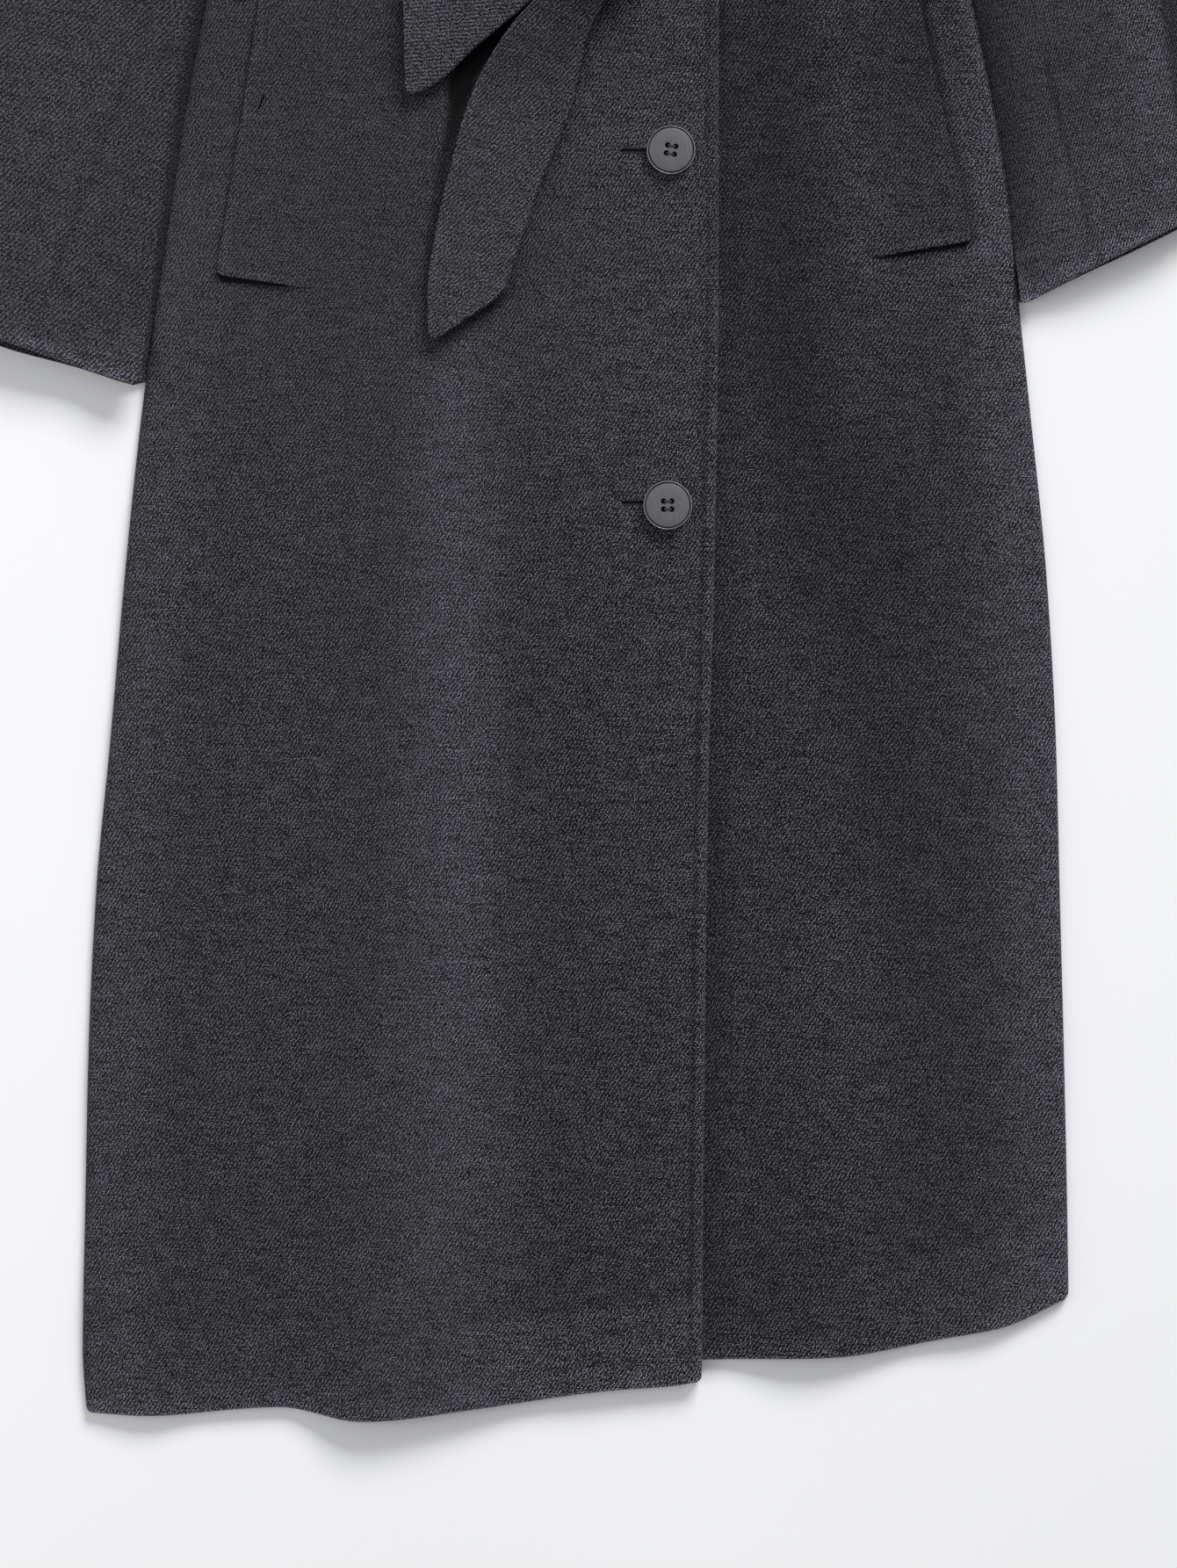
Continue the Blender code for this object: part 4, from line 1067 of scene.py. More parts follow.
def lapel_plan(side, share, across):
    """x and drop on a lapel: share runs up from its start, across from the roll line to its outer edge."""
    start_rise = LAPEL_START_RISE[side]
    drop = -lerp(start_rise, GORGE_RISE, share)
    roll = np.stack((roll_line_x(side, drop), drop), axis=-1)
    start = np.array((roll_line_x(side, -start_rise) + side * LAPEL_START_WIDTH, -start_rise))
    tip = np.array((side * LAPEL_TIP_HALF, -LAPEL_TIP_RISE))
    bow = LAPEL_BOW * np.sin(np.pi * share)
    edge = lerp(start, tip, np.asarray(share)[..., None]) + np.stack((side * bow, bow), axis=-1)
    return lerp(roll, edge, across)


def lapel_points(side):
    share = spaced(0, 1, FACING_STEP / LAPEL_LENGTH)
    inner, outer = lapel_plan(side, share, 0), lapel_plan(side, share, 1)
    return turned_back(side, inner, outer, lambda x, drop: front_top(side, x, drop))


def collar_inner(side, row):
    """Where a collar row meets the gorge of its lapel, or the neck."""
    if row.gorge is None:
        return np.array((side * row.inner_half, -row.inner_rise))
    return lapel_plan(side, np.array(1.0), NOTCH_SHARE * row.gorge) - np.array((0, GORGE_GAP))


def collar_points(side):
    share = spaced(0, 1, FACING_STEP / COLLAR_LENGTH)
    stations = [row.share for row in COLLAR]
    inners = np.array([collar_inner(side, row) for row in COLLAR])
    inner = np.stack([np.interp(share, stations, inners[:, k]) for k in (0, 1)], axis=-1)
    outer_half = along(COLLAR, share, "outer_half")
    outer = np.stack((side * outer_half, -along(COLLAR, share, "outer_rise")), axis=-1)
    rest = along(COLLAR, share, "rest")[:, None]
    return turned_back(side, inner, outer, lambda x, drop: rest)


def welt_points(side):
    """The outer face of a pocket welt, its thickness, its painted light and shade and the line of its
    stitches.
    """
    welt = WELTS[side]
    length = math.hypot(welt.end_half - welt.top_half, welt.end_drop - welt.top_drop)
    share = spaced(0, 1, WELT_STEP / length)[:, None]
    across = spaced(0, 1, WELT_STEP / welt.width)[None, :]
    half = lerp(welt.end_half, welt.top_half, share) - welt.width * across
    drop = lerp(welt.end_drop, welt.top_drop, share) + welt.end_slope * across
    x = side * half
    from_side, from_end = np.broadcast_arrays(across * welt.width, share * length)
    near = np.minimum(from_side, from_end)
    feather = eased((welt.width - from_side) / WELT_FEATHER)
    start, reach = WELT_END_ACROSS
    lift = WELT_END_LIFT * fading(from_end, WELT_END_REACH) * fading(across - start, reach)
    by_lip = eased(2 - near / WELT_LIP * WELT_LIP_FALL)
    raised = lift + WELT_LIP_LIFT[side] * by_lip + groove(near - WELT_LIP, WELT_LINE_HALF, WELT_LINE_DEPTH)
    z = front_top(side, x, drop) + WELT_SEAM + WELT_WALL * feather + raised * feather
    points = soft_corner(placed(x, drop, z), False, WELT_CORNER)
    nap = painted_front_shading(side, x, drop) * WELT_PAINTED_SHARE + WELT_TONE[side] * feather
    nap = nap + WELT_LIP_SHINE * by_lip * feather
    i = int(round(WELT_LIP / WELT_STEP))
    path = [*points[:i:-1, i], *points[i, i:-WELT_LINE_END]]
    if side == RIGHT:
        points, feather, nap = points[:, ::-1], feather[:, ::-1], nap[:, ::-1]
    return points, feather, nap, path


def welt_gap_points(side):
    """A thin sheet painted near-black under the open lower end of a welt: painted shadow inside the pocket.
    """
    welt, gap = WELTS[side], WELT_GAPS[side]
    across = spaced(GAP_START, gap.share, WELT_STEP / welt.width)[None, :]
    wide = gap.width * lerp(1 - across / gap.share, 1, gap.even)
    outer, inner = GAP_ENDS
    wide = wide * eased(across * outer) * eased((gap.share - across) * inner) + GAP_LEAST
    down = lerp(wide, -WELT_TUCK, np.linspace(0, 1, GAP_ROWS)[:, None])
    x = side * (welt.end_half - welt.width * across)
    drop = welt.end_drop + welt.end_slope * across + down
    points = placed(x, drop, front_top(side, x, drop) + GAP_LIFT)
    return points[:, ::-1] if side == RIGHT else points


def belt_rest(side, x, drop):
    """Height of what the belt lies on: the over front, then a soft step down to the under front."""
    over = front_top(LEFT, x, drop)
    if side == LEFT:
        return over
    edge = along(OVER_EDGE, drop, "x")
    under = front_top(RIGHT, x, drop) + LAYER * (1 - eased((x - edge) / STEP_DOWN))
    return np.where(x < edge, over, under)


def belt_points(side):
    """The outer face of a front stretch of the belt: round the body's side, then gathered to the knot."""
    turn = quarter()
    inner_x = KNOT_X + side * (KNOT_HALF[0] - BELT_TUCK)
    width = spaced(-1, 1, BELT_STEP / BELT_HALF)[:, None]
    share = np.concatenate((turn * 0, spaced(0, 1, BELT_STEP / BELT_LENGTH)[1:]))[None, :]
    angle = np.concatenate((turn, np.full(share.shape[1] - len(turn), np.pi / 2)))[None, :]
    middle_x = lerp(side * side_half(side, 0), inner_x, share)
    to_knot = np.abs(middle_x - inner_x) - BELT_TUCK
    drop = -width * lerp(BELT_KNOT_HALF, BELT_HALF, eased(to_knot / BELT_TAPER))
    roll = SIDE_ROLL[side]
    wrap = BELT_SEAM + BELT_WALL
    offset = roll - (roll + wrap) * np.cos(angle)
    x = lerp(side * (side_half(side, drop) - offset), inner_x, share)
    near = fading(to_knot, BELT_PLEAT_REACH)
    wave = BELT_PLEATS * np.pi * width + BELT_PLEAT_PHASE + BELT_PLEAT_LEAN * near
    pleats = BELT_PLEAT * near * np.cos(wave)
    rise = BELT_RISE * fading(to_knot, BELT_RISE_REACH)
    top = belt_rest(side, x, drop) + wrap + rise + pleats
    z = lerp(FLOOR_GAP, top, np.sin(angle))
    points = placed(x, drop, z)
    return points if side == LEFT else points[:, ::-1]


def belt_back_points():
    x = spaced(-BELT_BACK_HALF, BELT_BACK_HALF, PLAIN)[None, :]
    return placed(x, spaced(BELT_HALF, -BELT_HALF, PLAIN)[:, None], BELT_WALL + BELT_FLOOR_GAP)


def tail_points(tail):
    """The outer face of a belt tail, from its cut end to the knot, and its painted light and shade."""
    middle = [((row.left_x + row.right_x) / 2, (row.left_drop + row.right_drop) / 2) for row in tail.rows]
    share = spaced(0, 1, TAIL_STEP / lengths(middle, 0).sum())[:, None]
    across = spaced(0, 1, TAIL_STEP / TAIL_WIDTH)[None, :]
    x, drop, lift = (
        lerp(along(tail.rows, share, "left_" + word), along(tail.rows, share, "right_" + word), across)
        for word in ("x", "drop", "lift")
    )
    wide = np.hypot(x[:, -1:] - x[:, :1], drop[:, -1:] - drop[:, :1])
    crown = TAIL_CROWN * np.sin(np.pi * across)
    by_left = fading(across * wide, TAIL_CURL_REACH)
    edge = tail.curl * by_left * eased(share * TAIL_CURL_RUN - 1)
    z = front_top(LEFT, x, drop) + BELT_SEAM + TAIL_WALL + lift + crown + edge
    points = soft_corner(placed(x, drop, z), False, tail.corner)
    nap = tail.shine + TAIL_EDGE_SHINE * by_left
    nap = nap - TAIL_EDGE_SHADE * fading((1 - across) * wide, TAIL_EDGE_REACH)
    root, reach = TAIL_ROOT
    nap = nap - TAIL_ROOT_SHADE * eased((share - root) / reach)
    return soft_corner(points, True, tail.corner), nap


def loop_points(side):
    """The outer face of a belt loop, which bridges the belt."""
    drop = spaced(LOOP_END, -LOOP_END, LOOP_STEP)[:, None]
    centre = side * (side_half(side, 0) - LOOP_IN)
    x = centre + spaced(-LOOP_HALF_WIDTH, LOOP_HALF_WIDTH, LOOP_STEP)[None, :]
    bridge = BELT_SEAM + BELT_WALL + 2 * SEAM
    foot = LOOP_END - LOOP_FOOT
    over = bridge * eased((foot - np.abs(drop)) / (foot - BELT_HALF) * LOOP_STEEP)
    return placed(x, drop, front_top(side, x, drop) + SEAM + LOOP_WALL + over)


def rounded(wave, power):
    """A wave made fuller, with its sign kept."""
    return np.sign(wave) * np.abs(wave) ** power


def knot_points():
    """The wrap of the knot, a gathered loop of belt: its rows go round, its columns across."""
    phi = np.linspace(0, 2 * np.pi, KNOT_ROWS, endpoint=False)[:, None]
    s = np.linspace(-1, 1, KNOT_COLUMNS)[None, :]
    half_x, half_y, half_z = KNOT_HALF
    ends = 1 - KNOT_PINCH * np.abs(s) ** KNOT_PINCH_BEND
    waver = KNOT_WAVER * np.sin(phi + KNOT_WAVER_PHASE)
    pleat = KNOT_PLEAT * np.cos(KNOT_PLEATS * np.pi * (s + waver) + KNOT_PLEAT_PHASE)
    pleat = pleat * (1 - KNOT_PLEAT_FADE * s * s)
    round_y = rounded(np.cos(phi), KNOT_ROUND_Y)
    round_z = rounded(np.sin(phi), KNOT_ROUND_Z)
    y = half_y * (ends + KNOT_PLEAT_SIDE * pleat) * round_y + KNOT_TWIST * s * np.sin(phi)
    z = half_z * (ends + pleat * (round_z > KNOT_PLEAT_LOW)) * round_z
    x = half_x * s * (1 - KNOT_WAIST * np.cos(2 * phi)) + KNOT_LEAN * np.cos(phi)
    z = np.clip(z, BELT_WALL - half_z, half_z) + KNOT_REST + half_z
    return placed(KNOT_X + x, -y, z)


def node_kit(tree):
    """Short hands for a node tree: to add a node, and to fill its inputs with values or links."""

    def fill(node, inputs):
        for name, value in inputs.items():
            if isinstance(value, bpy.types.NodeSocket):
                tree.links.new(value, node.inputs[name])
            else:
                node.inputs[name].default_value = value

    def add(kind, inputs=None, **settings):
        node = tree.nodes.new(kind)
        for name, value in settings.items():
            setattr(node, name, value)
        fill(node, inputs or {})
        return node

    return add, fill


def new_finish(name, **values):
    """A material with its shader's plain values, and the short hands for the rest of it."""
    finish = bpy.data.materials.new(name)
    finish.use_nodes = True
    shader = finish.node_tree.nodes["Principled BSDF"]
    add, fill = node_kit(finish.node_tree)
    fill(shader, {socket.replace("_", " "): value for socket, value in values.items()})
    return finish, shader, add, fill


def ramp(add, place, stops):
    """The colour at a place on a ramp, whose stops are places with colours."""
    node = add("ShaderNodeValToRGB", {"Fac": place})
    elements = node.color_ramp.elements
    while len(elements) < len(stops):
        elements.new(0.5)
    for element, (spot, colour) in zip(elements, stops):
        element.position = spot
        element.color = (*colour, 1)
    return node.outputs["Color"]


def bumped(add, height, strength, distance):
    """The normal of a face with fine relief."""
    inputs = {"Height": height, "Strength": strength, "Distance": distance * MM}
    return add("ShaderNodeBump", inputs).outputs["Normal"]


# Wool: floats of the twill, each its own grey, with finer fibres, slubs along the weft and a raised pile in
# relief.
FLOAT_LENGTH = 2.2
FLOAT_WIDTH = 1
FLECK = 0.74
SLUB_LENGTH = 26
SLUB_WIDTH = 1.1
MOTTLE = 8.5
WAVER = 6
SWAY = 1.1
Weave = namedtuple("Weave", "floats lines flecks slub mottle")
WOOL_SHADE = Weave(0.6, 0.19, 2.55, 0.45, 0.26)
WOOL_LEVEL = -2.37
WOOL_MIDDLE = 0.945
RAISED_LINES = 0.5
RAISED_FLECKS = 1.6
WOOL_BUMP = (0.5, 0.25)
WOOL_STOPS = (
    (0, (0.0, 0.0, 0.0)),
    (0.25, (0.001, 0.0009, 0.0013)),
    (0.5, (0.0117, 0.0112, 0.0141)),
    (0.75, (0.0504, 0.0481, 0.0594)),
    (1, (0.142, 0.1357, 0.1638)),
)


def wool_finish():
    """Grey twill on the piece's flat cut, crisper or softer by its crisp attribute, and lighter or darker by
    its painted light and shade.
    """
    finish, shader, add, fill = new_finish(
        "dark_grey_wool",
        Roughness=0.93,
        Specular_IOR_Level=0.18,
        Sheen_Weight=0.06,
        Sheen_Roughness=0.45,
        Sheen_Tint=(0.8, 0.8, 0.86, 1),
    )

    def noise(scale, detail, source, output="Fac"):
        inputs = {"Scale": scale, "Detail": detail, "Vector": source}
        return add("ShaderNodeTexNoise", inputs, noise_dimensions="2D").outputs[output]

    def sized(across, down, source, turn=0):
        spin = add("ShaderNodeMapping", {"Vector": source, "Rotation": (0, 0, -math.radians(turn))})
        scale = (1 / (across * MM), 1 / (down * MM), 1)
        return add("ShaderNodeMapping", {"Vector": spin.outputs["Vector"], "Scale": scale}).outputs["Vector"]

    def moved(operation, inputs):
        return add("ShaderNodeVectorMath", inputs, operation=operation).outputs["Vector"]

    def worked(operation, *inputs):
        return add("ShaderNodeMath", dict(enumerate(inputs)), operation=operation).outputs["Value"]

    def mixed(sockets, weights, level):
        for socket, weight in zip(sockets, weights):
            level = worked("MULTIPLY_ADD", socket, weight, level)
        return level

    cut = add("ShaderNodeUVMap", uv_map="cut").outputs["UV"]
    crisp = add("ShaderNodeAttribute", attribute_name="crisp").outputs["Fac"]
    nap = add("ShaderNodeAttribute", attribute_name="nap").outputs["Fac"]
    waver = noise(1 / (WAVER * MM), 1, cut, "Color")
    woven = moved("ADD", {0: cut, 1: moved("SCALE", {0: waver, "Scale": SWAY * MM})})
    floats = noise(1, 0, sized(FLOAT_LENGTH, FLOAT_WIDTH, woven, TWILL_SLOPE))
    twill = add("ShaderNodeSeparateXYZ", {"Vector": sized(TWILL_PITCH, TWILL_PITCH, woven, TWILL_SLOPE)})
    lines = worked("COSINE", worked("MULTIPLY", twill.outputs["Y"], 2 * math.pi))
    flecks = noise(1 / (FLECK * MM), 1, cut)
    slub = noise(1, 2, sized(SLUB_LENGTH, SLUB_WIDTH, cut))
    mottle = noise(1 / (MOTTLE * MM), 2, cut)
    shade = mixed(Weave(floats, lines, flecks, slub, mottle), WOOL_SHADE, WOOL_LEVEL)
    grey = ramp(add, worked("MULTIPLY_ADD", shade, crisp, WOOL_MIDDLE), WOOL_STOPS)
    # The grey is scaled by the painted light and shade, and by how crisp the weave is.
    depth = worked("MULTIPLY", worked("ADD", nap, 1), crisp)
    raised = mixed((lines, flecks), (RAISED_LINES, RAISED_FLECKS), 0.0)
    toned = moved("SCALE", {0: grey, "Scale": depth})
    fill(shader, {"Base Color": toned, "Normal": bumped(add, raised, *WOOL_BUMP)})
    return finish


BUTTON_MARK = (0.35, 7)
BUTTON_BUMP = (0.15, 0.05)


def button_finish(name, dark, light, smooth, rough):
    """Dark plastic with fine turning marks."""
    finish, shader, add, fill = new_finish(name, Specular_IOR_Level=0.5)
    fine, long = (1 / (size * MM) for size in BUTTON_MARK)
    place = add("ShaderNodeTexCoord").outputs["Object"]
    brushed = add("ShaderNodeMapping", {"Vector": place, "Scale": (fine, long, long)}).outputs["Vector"]
    marks = add("ShaderNodeTexNoise", {"Vector": brushed, "Scale": 1, "Detail": 3}).outputs["Fac"]
    worn = add("ShaderNodeMapRange", {"Value": marks, "To Min": smooth, "To Max": rough}).outputs["Result"]
    fill(shader, {"Base Color": ramp(add, marks, ((0.25, dark), (0.75, light))), "Roughness": worn})
    fill(shader, {"Normal": bumped(add, marks, *BUTTON_BUMP)})
    return finish


THREAD_TWIST = 0.3


def thread_finish(name, dark, light, gloss):
    """Sewing thread with its twist."""
    finish, shader, add, fill = new_finish(name, Roughness=0.8, Specular_IOR_Level=gloss)
    place = add("ShaderNodeTexCoord").outputs["Object"]
    twist = add("ShaderNodeTexNoise", {"Vector": place, "Scale": 1 / (THREAD_TWIST * MM), "Detail": 2})
    fill(shader, {"Base Color": ramp(add, twist.outputs["Fac"], ((0.3, dark), (0.7, light)))})
    return finish


FLOOR_SIZE = 12
# Painted shade: how fast the floor's tone falls per metre towards the right.
FLOOR_SHADE_SLOPE = -0.6
FLOOR_STOPS = ((0, (0.84, 0.842, 0.85)), (1, (0.935, 0.936, 0.942)))


def floor_finish():
    """White board with a faint random cloud, and painted shade that makes it a little darker towards the
    right.
    """
    finish, shader, add, fill = new_finish("pale_floor", Roughness=0.8, Specular_IOR_Level=0.1)
    place = add("ShaderNodeTexCoord").outputs["Object"]
    cloud = add("ShaderNodeTexNoise", {"Vector": place, "Scale": 1.2, "Detail": 2}).outputs["Fac"]
    across = add("ShaderNodeSeparateXYZ", {"Vector": place}).outputs["X"]
    tone = add("ShaderNodeMath", {0: across, 1: FLOOR_SHADE_SLOPE, 2: cloud}, operation="MULTIPLY_ADD")
    fill(shader, {"Base Color": ramp(add, tone.outputs["Value"], FLOOR_STOPS)})
    return finish


def as_piece(name, data):
    """Puts a mesh, curve, lamp or camera into the scene."""
    piece = bpy.data.objects.new(name, data)
    bpy.context.scene.collection.objects.link(piece)
    return piece


def final_mesh(piece):
    """The plain mesh of a piece with its modifiers done."""
    graph = bpy.context.evaluated_depsgraph_get()
    return bpy.data.meshes.new_from_object(piece.evaluated_get(graph))


def soft_edges(piece, name, width, segments, angle):
    """Rounds a piece's edges that are sharper than an angle."""
    soft = piece.modifiers.new(name, "BEVEL")
    soft.width = width
    soft.segments = segments
    soft.limit_method = "ANGLE"
    soft.angle_limit = math.radians(angle)


def turned_cut(cut, grain):
    """The flat cut turned and sized so that the twill lies as it does on the coat."""
    turn = math.radians(TWILL_SLOPE - grain.slope)
    u = cut[..., 0] * math.cos(turn) - cut[..., 1] * math.sin(turn)
    v = cut[..., 0] * math.sin(turn) + cut[..., 1] * math.cos(turn)
    return np.stack((u, v), axis=-1) * (TWILL_PITCH / grain.pitch)


def cloth(name, points, cut, wall, grain, rim=RIM, nap=None, thin=None):
    """A sheet of wool: a fine grid through its outer face, with a wall and soft rims.

    A cut with one row more than the points closes the grid to a ring.
    """
    rows, columns = points.shape[:2]
    index = np.arange(cut.shape[0] * columns).reshape(cut.shape[0], columns)
    quads = np.stack((index[:-1, :-1], index[:-1, 1:], index[1:, 1:], index[1:, :-1]), axis=-1)
    quads = quads.reshape(-1, 4)
    mesh = bpy.data.meshes.new(name)
    mesh.from_pydata(points.reshape(-1, 3).tolist(), [], (quads % (rows * columns)).tolist())
    mesh.polygons.foreach_set("use_smooth", np.ones(len(quads), bool))
    uv = mesh.uv_layers.new(name="cut")
    worn = turned_cut(cut, grain).reshape(-1, 2)[quads.ravel()]
    uv.data.foreach_set("uv", worn.astype(np.float32).ravel())
    shift = np.zeros(rows * columns) if nap is None else nap
    for label, values in (("nap", shift), ("crisp", crispness(points))):
        look = mesh.attributes.new(label, "FLOAT", "POINT")
        look.data.foreach_set("value", np.ravel(values).astype(np.float32))
    mesh.materials.append(WOOL)
    piece = as_piece(name, mesh)
    solid = piece.modifiers.new("Wall", "SOLIDIFY")
    solid.thickness = wall * MM
    solid.offset = -1
    if thin is not None:
        group = piece.vertex_groups.new(name="thickness")
        for k, weight in enumerate(np.ravel(thin)):
            group.add([k], float(weight), "REPLACE")
        solid.vertex_group = "thickness"
        solid.thickness_vertex_group = THIN_LEAST
    if rim:
        soft_edges(piece, "Rim", rim * MM, RIM_SEGMENTS, RIM_ANGLE)
    return piece


def lay(piece, node, with_pieces=()):
    """Attaches a cloth piece and its extra pieces to the body, and hides its CAD node."""
    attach(piece, BODY)
    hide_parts(node)
    for extra in with_pieces:
        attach(extra, BODY)


def dress(node, points, wall, grain, slot, held, rests_on, cut=None, flat=None, **looks):
    """Makes the cloth of a CAD node and lays it in place, with a flat cut of its own where one is given."""
    cut = plan_cut(points) if cut is None else cut
    piece = cloth(node + "_cloth", points, cut, wall, grain, **looks)
    lay(piece, node)


def stitch_tree():
    """Stitches along a path: one soft bead of thread at each step, along the path or across it."""
    tree = bpy.data.node_groups.new("stitches", "GeometryNodeTree")
    sockets = {"Geometry": "Geometry", "Across": "Bool", "Thread": "Material"}
    sockets.update(dict.fromkeys(("Pitch", "Length", "Width", "Height"), "Float"))
    for name, kind in sockets.items():
        tree.interface.new_socket(name, in_out="INPUT", socket_type="NodeSocket" + kind)
    tree.interface.new_socket("Geometry", in_out="OUTPUT", socket_type="NodeSocketGeometry")
    add, fill = node_kit(tree)
    start = add("NodeGroupInput").outputs
    end = add("NodeGroupOutput")
    path = {"Curve": start["Geometry"], "Length": start["Pitch"]}
    steps = add("GeometryNodeCurveToPoints", path, mode="LENGTH").outputs
    crossing = add("ShaderNodeVectorMath", {0: steps["Tangent"], 1: (0, 0, 1)}, operation="CROSS_PRODUCT")
    ways = {"Switch": start["Across"], "False": steps["Tangent"], "True": crossing.outputs["Vector"]}
    way = add("GeometryNodeSwitch", ways, input_type="VECTOR")
    aim = add("FunctionNodeAlignRotationToVector", {"Vector": way.outputs["Output"]}, axis="X")
    bead = add("GeometryNodeMeshUVSphere", {"Segments": 8, "Rings": 6, "Radius": 0.5})
    size = add("ShaderNodeCombineXYZ", {"X": start["Length"], "Y": start["Width"], "Z": start["Height"]})
    beads = {
        "Points": steps["Points"],
        "Instance": bead.outputs["Mesh"],
        "Rotation": aim.outputs["Rotation"],
        "Scale": size.outputs["Vector"],
    }
    sewn = add("GeometryNodeInstanceOnPoints", beads)
    real = add("GeometryNodeRealizeInstances", {"Geometry": sewn.outputs["Instances"]})
    smooth = add("GeometryNodeSetShadeSmooth", {"Geometry": real.outputs["Geometry"]})
    dyed = {"Geometry": smooth.outputs["Geometry"], "Material": start["Thread"]}
    fill(end, {"Geometry": add("GeometryNodeSetMaterial", dyed).outputs["Geometry"]})
    return tree


def sewn(name, paths, thread, stitch, across=False):
    """A mesh of stitches along paths, whose points are in metres."""
    curve = bpy.data.curves.new(name, "CURVE")
    curve.dimensions = "3D"
    for path in paths:
        spline = curve.splines.new("POLY")
        spline.points.add(len(path) - 1)
        for point, spot in zip(spline.points, path):
            point.co = (*spot, 1)
    holder = as_piece(name + "_path", curve)
    work = holder.modifiers.new("Stitches", "NODES")
    work.node_group = STITCHES
    values = {field.capitalize(): size * MM for field, size in stitch._asdict().items()}
    values.update({"Across": across, "Thread": thread})
    for item in STITCHES.interface.items_tree:
        if item.in_out == "INPUT" and item.name in values:
            work[item.identifier] = values[item.name]
    mesh = final_mesh(holder)
    mesh.name = name
    bpy.data.objects.remove(holder)
    bpy.data.curves.remove(curve)
    return as_piece(name, mesh)


def button_base(x, drop):
    """Height of the underside of a button."""
    return float(front_top(LEFT, x, drop)) + BUTTON_GAP


def on_button(x, drop, turn, across, up):
    """x and drop of places on a button that has turned a little on its thread."""
    angle = math.radians(turn)
    turned_across = across * math.cos(angle) + up * math.sin(angle)
    turned_up = up * math.cos(angle) - across * math.sin(angle)
    return x + turned_across, drop - turned_up


def button_blank():
    """A turned button with a raised rim, round its own middle, in millimetres."""
    made = bmesh.new()
    angles = np.linspace(0, 2 * np.pi, BUTTON_SIDES, endpoint=False)
    rings = []
    for radius, height in BUTTON_PROFILE:
        spots = angles if radius else angles[:1]
        rings.append([made.verts.new((radius * math.cos(a), radius * math.sin(a), height)) for a in spots])
    for low, high in zip(rings, rings[1:]):
        for k in range(BUTTON_SIDES):
            n = (k + 1) % BUTTON_SIDES
            corners = [low[k % len(low)], high[k % len(high)], high[n % len(high)], low[n % len(low)]]
            made.faces.new(list(dict.fromkeys(corners)))
    bmesh.ops.recalc_face_normals(made, faces=made.faces)
    return made


def button_drills():
    """Four round rods where the holes go."""
    made = bmesh.new()
    half = BUTTON_HOLE_PITCH / 2
    for across in (-half, half):
        for up in (-half, half):
            rod = bmesh.ops.create_cone(
                made,
                cap_ends=True,
                segments=HOLE_SIDES,
                radius1=BUTTON_HOLE_RADIUS,
                radius2=BUTTON_HOLE_RADIUS,
                depth=HOLE_DEPTH,
            )
            bmesh.ops.translate(made, verts=rod["verts"], vec=(across, up, 0))
    return made


def button_mesh(name, x, drop, turn):
    """A turned button with four holes, in its place on the over front."""
    solids = []
    for label, made in ((name + "_blank", button_blank()), (name + "_holes", button_drills())):
        mesh = bpy.data.meshes.new(label)
        made.to_mesh(mesh)
        made.free()
        solids.append(as_piece(label, mesh))
    blank, drills = solids
    cut = blank.modifiers.new("Holes", "BOOLEAN")
    cut.operation = "DIFFERENCE"
    cut.solver = "EXACT"
    cut.object = drills
    soft_edges(blank, "Hole edges", HOLE_RIM, HOLE_RIM_SEGMENTS, HOLE_RIM_ANGLE)
    done = final_mesh(blank)
    for solid in solids:
        bpy.data.objects.remove(solid)
    local = np.zeros(len(done.vertices) * 3)
    done.vertices.foreach_get("co", local)
    local = local.reshape(-1, 3)
    spots = placed(*on_button(x, drop, turn, local[:, 0], local[:, 1]), button_base(x, drop) + local[:, 2])
    done.vertices.foreach_set("co", spots.astype(np.float32).ravel())
    done.polygons.foreach_set("use_smooth", np.ones(len(done.polygons), bool))
    done.name = name
    done.materials.clear()
    # Faces past the groove's radius take the groove's painted shade, and past the rim's radius the rim's
    # painted highlight.
    for finish in (BUTTON, BUTTON_GROOVE_SHADE, BUTTON_RIM_HIGHLIGHT):
        done.materials.append(finish)
    for face in done.polygons:
        spread = math.hypot(*np.mean([local[k, :2] for k in face.vertices], axis=0))
        face.material_index = int(spread > BUTTON_GROOVE_RADIUS) + int(spread > BUTTON_RIM_RADIUS)
    done.update()
    return as_piece(name, done)


def button_threads(name, x, drop, turn):
    """Two bars of thread between the pairs of holes, and near-black beads down in the holes: painted shade in
    the holes.
    """
    face = button_base(x, drop) + BUTTON_PROFILE[0].height
    half = BUTTON_HOLE_PITCH / 2

    def spot(across, up, rise):
        return placed(*on_button(x, drop, turn, across, up), face + rise)

    bars, ends = [], []
    for up in (-half, half):
        for shift in (-BAR_SPREAD, BAR_SPREAD):
            shares = np.linspace(-1, 1, BAR_POINTS)
            rises = BAR_RISE - BAR_DIP * np.abs(shares) ** BAR_BEND
            bars.append([spot(half * share, up + shift, rise) for share, rise in zip(shares, rises)])
        for across in (-half, half):
            # Near-black beads down in each hole: painted shade.
            ends.append([spot(across + step, up, -HOLE_SHADE_SINK) for step in (-HOLE_SHADE_HALF, HOLE_SHADE_HALF)])
    return (
        sewn(name + "_bars", bars, BUTTON_THREAD, BAR_STITCH),
        sewn(name + "_ends", ends, DARK_THREAD_AND_SHADE, HOLE_SHADE_BEADS),
    )


